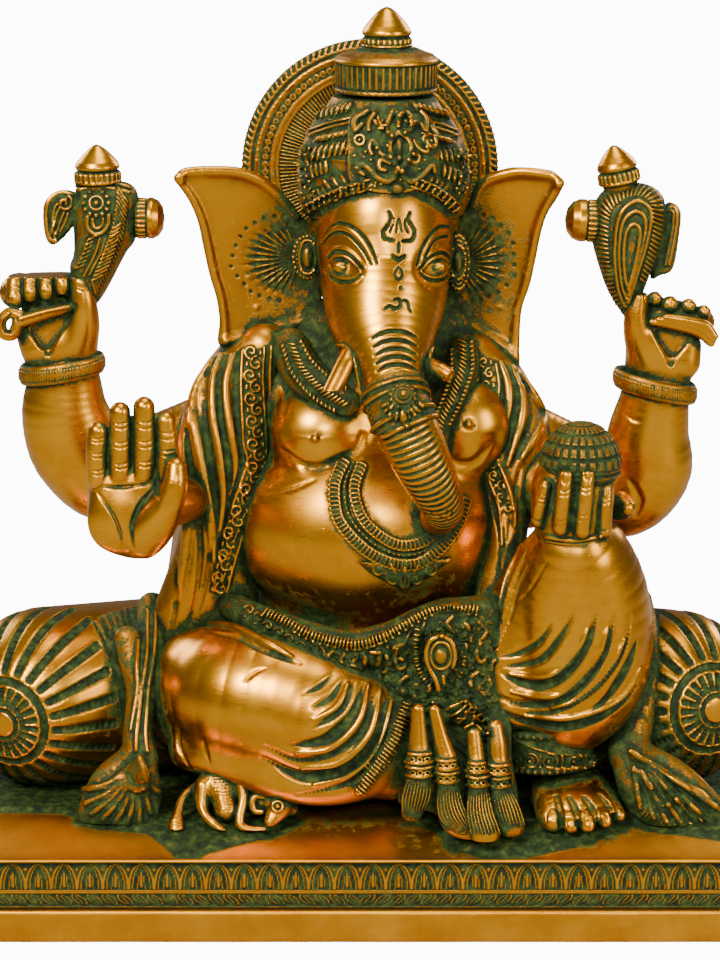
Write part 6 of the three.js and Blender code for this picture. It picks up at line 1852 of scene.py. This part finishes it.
def moulding(inset, profile, relief, pitch):
    """Four mitred sides: profile is [z, outward], and relief(s, z) stands out from it along the side."""
    wide, deep = PLINTH[0] / 2 - inset, PLINTH[1] / 2 - inset
    heights, outs = np.asarray(profile, float).T
    points, faces, raised = [], [], []
    first = 0
    for start, end, normal in (((-wide, -deep), (wide, -deep), (0, -1)),
                               ((wide, -deep), (wide, deep), (1, 0)),
                               ((wide, deep), (-wide, deep), (0, 1)),
                               ((-wide, deep), (-wide, -deep), (-1, 0))):
        start, end, normal = np.array(start), np.array(end), np.array(normal)
        span = np.linalg.norm(end - start)
        count = int(span / pitch) + 1
        t = np.linspace(0, 1, count)[:, None]
        along = (end - start) / span
        pattern = relief((t - 0.5) * span, heights[None, :]) * np.clip(np.minimum(t, 1 - t) * span / 2, 0,
            1)
        out = outs[None, :] + pattern
        shift = t * span + (t * 2 - 1) * outs[None, :]
        flat = start + along * shift[:, :, None] + normal * out[:, :, None]
        z = np.broadcast_to(heights[None, :, None], flat.shape[:2] + (1,))
        points.append(np.concatenate([flat, z], 2).reshape(-1, 3))
        raised.append(pattern.reshape(-1))
        rows = len(heights)
        i, j = np.meshgrid(np.arange(count - 1), np.arange(rows - 1), indexing="ij")
        a = first + i * rows + j
        faces.append(np.stack([a, a + rows, a + rows + 1, a + 1], 2).reshape(-1, 4))
        first += count * rows
    return np.vstack(points), np.vstack(faces), np.concatenate(raised)


def hump(d, width):
    """A rounded ridge where d is near zero."""
    return np.exp(-((d / width) ** 2))


def lotus(s, z):
    """Lotus petals between two lines, over a band of slanting leaves that meet at the centre."""
    pitch, low, high = 12.2, 25.6, 38.3
    u = (s / pitch) % 1 - 0.5
    t = np.clip((z - low) / (high - low), 0, 1)
    half = 0.47 * np.sqrt(np.clip(1 - t ** 2.2, 0, 1)) + 0.012
    inside = (z > low) & (z < high)
    edge = (np.abs(u) - half) * pitch
    petal = 1.0 * hump(edge, 0.62) + 0.8 * hump(edge + 1.7, 0.46)
    flame = 0.95 * hump(u * pitch, 0.85 - 0.6 * t) * smoothstep(0.02, 0.12, t) * smoothstep(0.78, 0.6, t)
    wings = 0.75 * hump(np.abs(u) * pitch - 1.9 + 1.3 * t, 0.42) * smoothstep(0.62, 0.5, t)
    v = np.abs((s / pitch + 0.5) % 1 - 0.5) * pitch
    kite = 0.9 * hump(v + np.abs(t - 0.80) * 8.5, 1.25)
    out = np.where(inside, np.maximum.reduce([petal * np.ones_like(z * s), flame, wings, kite]), 0.0)
    lines = sum(0.9 * hump(z - at, 0.42) for at in (16.9, 24.0, 25.0, 39.0))
    pitch2, low2, high2 = 7.2, 17.6, 23.4
    t2 = np.clip((z - low2) / (high2 - low2), 0, 1)
    w = (np.abs(s) / pitch2 - (t2 - 0.5) * 0.72) % 1 - 0.5
    blade = 0.36 * np.sin(math.pi * np.clip(t2 * 0.96 + 0.02, 0, 1)) ** 0.7
    d2 = (np.abs(w) - blade) * pitch2
    leaf = np.maximum(0.85 * hump(d2, 0.5),
                      0.75 * hump(w * pitch2, 0.55) * smoothstep(0.05, 0.2, t2) * smoothstep(0.95, 0.8, t2))
    leaf = np.where((z > low2) & (z < high2), leaf, 0.0)
    fine = 0.06 * np.sin(s * 3.7 + z * 5.1) * np.sin(s * 1.3 - z * 2.9)
    return out + lines + leaf + fine


def ripple(x, y):
    """Slow unevenness of a filed casting."""
    return 0.5 * np.sin(x * 0.071 + 1.7 * np.sin(y * 0.05)) + 0.3 * np.sin(x * 0.19 - y
        * 0.13) + 0.2 * np.sin(x * 0.43 + y * 0.37 + 2)


def lumps(x, y):
    """Fine roughness of an unpolished casting."""
    return (0.4 * np.sin(x * 1.13 + 2 * np.sin(y * 0.61)) + 0.35 * np.sin(y * 1.71 - x * 0.83 + 1) + 0.25
            * np.sin(x * 2.9 + y * 2.3))


def make_plinth_frieze():
    """The band of lotus petals: its pattern is also where the polish has reached."""
    rows = np.linspace(16.2, 39.5, 56)
    profile = [(6.0, -8), (14.0, -1.0)] + [(z, 0.0) for z in rows] + [(39.9, -0.6), (40.2, -4)]
    points, faces, raised = moulding(4, profile, lotus, 0.62)
    obj = mesh_object("plinth_frieze", points, faces)
    finish_piece(obj, None, "plinth_frieze", 0.95 - 1.15 * raised)


def make_plinth_foot():
    """The plain plate under the frieze, open inside."""
    under = [(13, -22), (0.2, -22), (0, -21), (0, -1.2), (0.3, -0.5)]
    wall = [(z, 0.0) for z in np.linspace(1.2, 14.8, 12)]
    over = [(15.7, -0.5), (16.0, -1.2), (16.0, -7), (12.0, -7.5)]

    def filed(s, h):
        return 0.10 * ripple(s, h * 9)

    points, faces, _ = moulding(0, under + wall + over, filed, 3.0)
    obj = mesh_object("plinth_foot", points, faces)
    finish_piece(obj, None, "plinth_foot", -0.4)


def make_ground():
    """The outline [x, y] of the rough ground that the figure sits on."""
    shore = at_height([(-196, -159.7), (-176.4, -162.7), (-147, -163.2), (-130.8, -167.1), (-103.9, -170.5),
                       (-95.1, -173.5), (-85.3, -179.8), (-76.4, -175.4), (-48, -171.5),
                       (-30.4, -163.7), (-7.3, -159.2), (11.8, -157.8), (26.5, -162.7), (38.7, -170.5),
                       (61.2, -176.4), (78.4, -176.9), (105.3, -173.5), (131.8, -167.6),
                       (145.5, -168.6), (161.7, -171), (176.4, -172), (196, -169.5)], DECK)
    turn = np.linspace(0.12, math.pi - 0.12, 24)
    across = 200 * np.sign(np.cos(turn)) * np.abs(np.cos(turn)) ** 0.45
    back = 76 * np.sin(turn) ** 0.5
    return np.vstack([shore, np.stack([across, back], 1)])


def make_plinth_top():
    """A moulded edge, and a deck that swells up to the rough ground."""
    profile = [(38.0, -6), (39.4, -5.0), (39.5, -0.9), (39.8, -0.4), (40.3, -0.1), (40.8, -0.5),
               (EDGE_Z + 0.1, -1.2),
               (EDGE_Z + 0.05, -3.0), (39.9, -6.0)]
    edge_points, edge_faces, _ = moulding(1, profile, lambda s, h: 0.12 * ripple(s, h), 2.5)
    wide, deep = DECK_HALF
    xs, ys = np.linspace(-wide, wide, 371), np.linspace(-deep, deep, 163)
    x, y = np.meshgrid(xs, ys, indexing="ij")
    rise = np.minimum.reduce([(wide - np.abs(x)) / 18, (y + deep) / 38, (deep - y) / 14])
    swell = np.sin(np.clip(rise, 0, 1) * math.pi / 2) ** 1.25
    top = EDGE_Z + 0.1 + (DECK - EDGE_Z - 0.3) * swell + 0.10 * ripple(x, y)
    inland = -polygon_distance(make_ground(), xs, ys)
    mound = smoothstep(-0.5, 3.4, inland + 0.7 * lumps(x * 0.3, y * 0.3)) * smoothstep(0.0, 0.16, rise)
    top = top + mound * (1.5 + 0.45 * lumps(x, y) + 0.35 * lumps(x * 0.4 + 3, y * 0.4))
    i, j = np.meshgrid(np.arange(len(xs) - 1), np.arange(len(ys) - 1), indexing="ij")
    a = len(edge_points) + i * len(ys) + j
    deck_faces = np.stack([a, a + len(ys), a + len(ys) + 1, a + 1], 2).reshape(-1, 4)
    points = np.vstack([edge_points, np.stack([x, y, top], 2).reshape(-1, 3)])
    obj = mesh_object("plinth_top", points, np.vstack([edge_faces, deck_faces]))
    green = smoothstep(-2.5, 1.0, inland) * 0.95
    finish_piece(obj, None, "plinth_top",
                 np.concatenate([np.full(len(edge_points), -0.2), green.reshape(-1)]))


# ---------- patina ----------
def mesh_arrays(mesh):
    """Vertices in millimetres, then the triangles and quads of a mesh."""
    co = np.empty(len(mesh.vertices) * 3, np.float32)
    mesh.vertices.foreach_get("co", co)
    start = np.zeros(len(mesh.polygons), np.int32)
    total = np.zeros(len(mesh.polygons), np.int32)
    corner = np.zeros(len(mesh.loops), np.int32)
    mesh.polygons.foreach_get("loop_start", start)
    mesh.polygons.foreach_get("loop_total", total)
    mesh.loops.foreach_get("vertex_index", corner)
    tris, quads = (corner[start[total == n][:, None] + np.arange(n)].astype(np.uint32) for n in (3, 4))
    return co.reshape(-1, 3) / MM, tris, quads


def distances(meshes, low, high, step, reach):
    """True distances to some meshes, out to reach steps, as a clay."""
    clay = Clay(low, high, step)
    clay.d[:] = step * reach
    for points, tris, quads in meshes:
        grid = vdb.FloatGrid.createLevelSetFromPolygons(
            ((points - clay.low) / step).astype(np.float32), triangles=tris if len(tris) else None,
            quads=quads if len(quads) else None, transform=vdb.createLinearTransform(voxelSize=1.0),
            halfWidth=reach)
        dense = np.full(clay.count, reach, np.float32)
        grid.copyToArray(dense, ijk=(0, 0, 0))
        np.minimum(clay.d, dense * step, out=clay.d)
    return clay


def weather_and_shade():
    """Stores on each vertex how sheltered it is, which sets the green patina and the darker brown of tarnish
    and painted shade: more where sheltered, less on ridges.
    """
    arrays = {obj.name: mesh_arrays(obj.data) for obj, _, _ in pieces}
    kept = [mesh_arrays(obj.data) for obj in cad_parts.values() if not obj.hide_render]
    crowd = distances([*arrays.values(), *kept], (-232, -118, -12), (232, 112, 448), 2.2, 6)
    for obj, clay, stain in pieces:
        points, tris, quads = arrays[obj.name]
        n = np.empty(len(points) * 3, np.float32)
        obj.data.vertices.foreach_get("normal", n)
        n = n.reshape(-1, 3)
        shelter = np.array(stain, np.float32) * np.ones(len(points), np.float32)
        if clay is not None:
            step = min(max(clay.step, 0.5), 0.7)
            own = distances([(points, tris, quads)], points.min(0) - 4, points.max(0) + 4, step, 5)
            for r, weight in ((0.9, 1.2), (2.0, 1.4)):
                shelter += weight * np.clip(1 - own.sample(points + n * r) / r - 0.06, 0, 1)
            shelter -= 1.4 * np.clip(1 + own.sample(points - n * 1.5) / 1.5 - 0.12, 0, 0.8)
        for r, weight in ((3.5, 0.55), (7.0, 0.45), (11.0, 0.30)):
            shelter += weight * np.clip(1 - crowd.sample(points + n * r) / r, 0, 1)
        layer = obj.data.attributes.new("shelter", "FLOAT", "POINT")
        layer.data.foreach_set("value", shelter.astype(np.float32))


# ---------- materials ----------
def node(tree, kind, **settings):
    made = tree.nodes.new(kind)
    for key, value in settings.items():
        if key in made.inputs:
            made.inputs[key].default_value = value
        else:
            setattr(made, key, value)
    return made


def ramp(tree, source, stops):
    made = tree.nodes.new("ShaderNodeValToRGB")
    while len(made.color_ramp.elements) < len(stops):
        made.color_ramp.elements.new(0.5)
    for element, (at, colour) in zip(made.color_ramp.elements, stops):
        element.position = at
        element.color = (*colour, 1) if not isinstance(colour, (int, float)) else (colour, colour, colour,
            1)
    tree.links.new(source, made.inputs["Fac"])
    return made


def brass_material(name, roughness):
    """Polished golden brass on what stands proud, dark green patina in what is sheltered, and a darker brown
    where sheltered that is partly tarnish and partly painted shade.
    """
    material = bpy.data.materials.new(name)
    material.use_nodes = True
    tree = material.node_tree
    tree.nodes.clear()
    link = tree.links.new
    out = node(tree, "ShaderNodeOutputMaterial")
    shader = node(tree, "ShaderNodeBsdfPrincipled")
    link(shader.outputs["BSDF"], out.inputs["Surface"])
    place = node(tree, "ShaderNodeTexCoord").outputs["Object"]
    sheltered = node(tree, "ShaderNodeAttribute", attribute_name="shelter").outputs["Fac"]

    def noise(scale, detail=4.0, rough=0.6, stretch=None):
        source = place
        if stretch:
            mapping = node(tree, "ShaderNodeMapping", Scale=stretch)
            link(place, mapping.inputs["Vector"])
            source = mapping.outputs["Vector"]
        made = node(tree, "ShaderNodeTexNoise", Scale=scale, Detail=detail, Roughness=rough)
        link(source, made.inputs["Vector"])
        return made.outputs["Fac"]

    def maths(operation, a, b):
        made = node(tree, "ShaderNodeMath", operation=operation)
        for socket, value in zip(made.inputs, (a, b)):
            if isinstance(value, (int, float)):
                socket.default_value = value
            else:
                link(value, socket)
        return made.outputs[0]

    def spread(value, a, b, c=0.0, d=1.0, kind="SMOOTHSTEP"):
        made = node(tree, "ShaderNodeMapRange", interpolation_type=kind)
        for key, number in (("From Min", a), ("From Max", b), ("To Min", c), ("To Max", d)):
            made.inputs[key].default_value = number
        link(value, made.inputs["Value"])
        return made.outputs["Result"]

    def mix(factor, a, b):
        made = node(tree, "ShaderNodeMix", data_type="RGBA")
        link(factor, made.inputs["Factor"])
        for socket, value in ((made.inputs[6], a), (made.inputs[7], b)):
            if isinstance(value, tuple):
                socket.default_value = (*value, 1)
            else:
                link(value, socket)
        return made.outputs[2]

    coarse, medium, fine = noise(38, 4), noise(210, 5, 0.65), noise(900, 3, 0.7)
    brushed = noise(170, 3, 0.6, (1.0, 1.0, 12.0))
    ragged = maths("ADD", maths("MULTIPLY", maths("SUBTRACT", medium, 0.5), 1.5),
                   maths("MULTIPLY", maths("SUBTRACT", fine, 0.5), 0.7))
    patina = spread(maths("ADD", sheltered, ragged), 0.30, 0.66)
    # Darker brown where sheltered: partly tarnish, partly painted shade in hollows, creases and between
    # parts.
    tarnish_and_shade = spread(maths("ADD", sheltered, maths("MULTIPLY", maths("SUBTRACT", coarse, 0.5), 0.9)), 0.02,
                     0.55)

    polished = ramp(tree, coarse,
                    ((0.3, (0.54, 0.205, 0.004)), (0.52, (0.66, 0.275, 0.008)),
                     (0.72, (0.76, 0.35, 0.016)))).outputs["Color"]
    polished = mix(spread(brushed, 0.4, 0.75, 0.0, 0.18), polished, (0.46, 0.18, 0.005))
    # The brown of tarnish and painted shade, mixed over the polished brass where sheltered.
    brown = mix(medium, (0.19, 0.070, 0.004), (0.34, 0.150, 0.011))
    metal = mix(maths("MULTIPLY", tarnish_and_shade, 0.9), polished, brown)
    green = ramp(tree, medium,
                 ((0.32, (0.004, 0.009, 0.002)), (0.48, (0.012, 0.026, 0.004)),
                  (0.60, (0.032, 0.056, 0.008)), (0.74, (0.11, 0.088, 0.012)))).outputs["Color"]
    link(mix(patina, metal, green), shader.inputs["Base Color"])
    link(spread(patina, 0.0, 1.0, 1.0, 0.08, "LINEAR"), shader.inputs["Metallic"])
    shader.inputs["Specular IOR Level"].default_value = 0.22
    bare = maths("ADD", spread(brushed, 0.3, 0.75, roughness, roughness + 0.09, "LINEAR"),
                 maths("MULTIPLY", tarnish_and_shade, 0.14))
    rough = node(tree, "ShaderNodeMix", data_type="FLOAT")
    link(patina, rough.inputs["Factor"])
    link(bare, rough.inputs[2])
    rough.inputs[3].default_value = 0.72
    link(rough.outputs[0], shader.inputs["Roughness"])
    pits = spread(noise(420, 2, 0.5), 0.70, 0.78)
    height = maths("ADD", maths("MULTIPLY", brushed, 0.05),
                   maths("MULTIPLY", maths("MULTIPLY", fine, patina), 1.8))
    height = maths("SUBTRACT", height, maths("MULTIPLY", pits, 0.6))
    bump = node(tree, "ShaderNodeBump", Strength=0.35, Distance=0.0003)
    link(height, bump.inputs["Height"])
    link(bump.outputs["Normal"], shader.inputs["Normal"])
    return material


def steel_material():
    """Turned steel, a little dulled."""
    material = bpy.data.materials.new("bolt_steel")
    material.use_nodes = True
    tree = material.node_tree
    shader = tree.nodes["Principled BSDF"]
    shader.inputs["Metallic"].default_value = 1.0
    place = node(tree, "ShaderNodeTexCoord").outputs["Object"]
    grain = node(tree, "ShaderNodeTexNoise", Scale=420.0, Detail=4.0)
    tree.links.new(place, grain.inputs["Vector"])
    shades = ((0.3, (0.30, 0.30, 0.31)), (0.7, (0.50, 0.50, 0.50)))
    tree.links.new(ramp(tree, grain.outputs["Fac"], shades).outputs["Color"], shader.inputs["Base Color"])
    tree.links.new(ramp(tree, grain.outputs["Fac"], ((0.3, 0.34), (0.7, 0.5))).outputs["Color"],
                   shader.inputs["Roughness"])
    bump = node(tree, "ShaderNodeBump", Strength=0.3, Distance=0.0002)
    tree.links.new(grain.outputs["Fac"], bump.inputs["Height"])
    tree.links.new(bump.outputs["Normal"], shader.inputs["Normal"])
    return material


def floor_material():
    """A white sweep that is lit brighter for the eye than for the metal that mirrors it."""
    material = bpy.data.materials.new("studio_white")
    material.use_nodes = True
    tree = material.node_tree
    shader = tree.nodes["Principled BSDF"]
    shader.inputs["Base Color"].default_value = (0.34, 0.34, 0.34, 1)
    shader.inputs["Roughness"].default_value = 0.9
    shader.inputs["Emission Color"].default_value = (1, 1, 1, 1)
    seen = node(tree, "ShaderNodeLightPath").outputs["Is Camera Ray"]
    glow = node(tree, "ShaderNodeMapRange")
    glow.inputs["To Min"].default_value = 0.04
    glow.inputs["To Max"].default_value = 12.0
    tree.links.new(seen, glow.inputs["Value"])
    tree.links.new(glow.outputs["Result"], shader.inputs["Emission Strength"])
    return material


# ---------- studio ----------
def studio():
    floor = bpy.data.meshes.new("studio_floor")
    floor.from_pydata([(-60, -60, 0), (60, -60, 0), (60, 60, 0), (-60, 60, 0)], [], [(0, 1, 2, 3)])
    obj = bpy.data.objects.new("studio_floor", floor)
    bpy.context.scene.collection.objects.link(obj)
    floor.materials.append(floor_material())
    for name, at, size, power, colour in (
        ("key", (-0.75, -1.25, 1.30), (0.5, 0.5), 46, (1.0, 0.97, 0.92)),
        ("front", (0.15, -1.9, 0.95), (0.45, 0.3), 17, (1.0, 0.98, 0.95)),
        ("fill", (1.25, -1.0, 0.75), (0.5, 0.9), 15, (1.0, 0.98, 0.95)),
        ("top", (0.1, 0.0, 1.6), (0.9, 0.6), 12, (1, 1, 1)),
        ("back_left", (-1.2, 1.2, 1.0), (0.6, 0.8), 14, (1, 1, 1)),
        ("back_right", (1.2, 1.3, 1.0), (0.6, 0.8), 14, (1, 1, 1)),
    ):
        light = bpy.data.lights.new(name, "AREA")
        light.shape = "RECTANGLE"
        light.size, light.size_y = size
        light.energy = power
        light.color = colour
        lamp = bpy.data.objects.new(name, light)
        lamp.location = at
        lamp.rotation_euler = (Vector((0, 0, 0.2)) - Vector(at)).to_track_quat("-Z", "Y").to_euler()
        bpy.context.scene.collection.objects.link(lamp)
    world = bpy.data.worlds.new("studio")
    world.use_nodes = True
    world.node_tree.nodes["Background"].inputs["Color"].default_value = (0.9, 0.92, 0.95, 1)
    world.node_tree.nodes["Background"].inputs["Strength"].default_value = 0.22
    bpy.context.scene.world = world

    camera = bpy.data.cameras.new("camera")
    camera.sensor_width = 36
    camera.lens = 130.1
    holder = bpy.data.objects.new("camera", camera)
    holder.location = SIGHT * MM
    holder.rotation_euler = Vector(FORWARD).to_track_quat("-Z", "Y").to_euler()
    bpy.context.scene.collection.objects.link(holder)
    bpy.context.scene.camera = holder


# ---------- making everything ----------
def torso_stain(p):
    """Patina on the neck and shoulders, and a little on the back."""
    return np.maximum(0.62 * smoothstep(252, 264, p[:, 2]), 0.2 * smoothstep(6, 24, p[:, 1]))


def tassel_stain(p):
    """Patina on the threads, with the cap above them and the tips worn bright."""
    cap = smoothstep(75.3, 80.3, p[:, 2])
    tips = smoothstep(DECK + 6, DECK + 2, p[:, 2])
    return 0.62 - 0.55 * cap - 0.5 * tips


torso = make_torso()
cast("torso", torso, stain=torso_stain)
cast("shawl_left", make_shawl_left(), stain=0.18)
cast("shawl_right", make_shawl_right(), stain=0.18)
cast("head", make_head())
cast("trunk", make_trunk())
cast("trunk_band", make_trunk_band(), stain=0.35)
for side, left in (("left", True), ("right", False)):
    cast(f"tusk_{side}", make_tusk(left))
    cast(f"ear_{side}", make_ear(left), stain=ear_stain(left))
    cast(f"ear_ornament_{side}", make_ear_ornament(left), stain=0.4)
    conch, knob = make_conch(left)
    cast(f"conch_{side}", conch, stain=0.42)
    cast(f"conch_knob_{side}", make_knob(*knob))
    cast(f"conch_finial_{side}", make_conch_finial(left))
    cast(f"rear_arm_{side}", make_rear_arm(left))
    cast(f"bangle_{side}", make_bangle(left), stain=0.3)
cast("rear_hand_left", make_rear_hand_left())
cast("rear_hand_right", make_rear_hand_right())
halo, halo_stain = make_halo()
cast("halo", halo, stain=halo_stain)
cast("crown_finial", make_finial())
cast("crown_drum", make_drum(), stain=0.34)
cast("crown", make_crown(), stain=0.38)
cast("crown_crest", make_crest(), stain=0.40)
cast("blessing_hand", make_blessing_hand())
cast("blessing_arm", make_blessing_arm())
cast("offering_hand", make_offering_hand(), stain=0.05)
cast("offering_arm", make_offering_arm())
cast("sweet_bowl", make_sweets(), stain=0.45)
folded_leg, folded_stain = make_folded_leg()
raised_leg, raised_stain = make_raised_leg()
cast("folded_leg", folded_leg, stain=folded_stain)
cast("raised_leg", raised_leg, stain=raised_stain)
cast("garment_hem", make_hem(), stain=0.6)
cast("raised_foot", make_foot())
cast("necklace", make_necklace(torso), stain=0.55)
cast("necklace_pendant", make_pendant(torso), stain=0.6)
cast("collar_left", make_collar(torso, True), stain=0.55)
cast("collar_right", make_collar(torso, False), stain=0.55)
cast("belt", make_belt(), stain=0.6)
cast("belt_medallion", make_medallion(), stain=0.35)
for i in range(4):
    cast(f"tassel_{i + 1}", make_tassel(i), stain=tassel_stain)
bolster_left, stain_left = make_bolster(True)
bolster_right, stain_right = make_bolster(False)
cast("bolster_left", bolster_left, stain=stain_left)
cast("bolster_right", bolster_right, stain=stain_right)
cast("tied_cloth_left", make_tied_cloth_left(bolster_left), stain=0.46)
cast("tied_cloth_right", make_tied_cloth_right(), stain=0.46)
cast("mouse", make_mouse(), stain=0.05)
make_plinth_frieze()
make_plinth_foot()
make_plinth_top()
brass = brass_material("brass", roughness=0.26)
brushed_brass = brass_material("brushed_brass", roughness=0.36)
steel = steel_material()
for name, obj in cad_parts.items():
    obj.data.materials.clear()
    obj.data.materials.append(steel if "bolt" in name else brass)
for obj, clay, stain in pieces:
    obj.data.materials.append(brushed_brass if obj.name.startswith("plinth") else brass)
weather_and_shade()
studio()
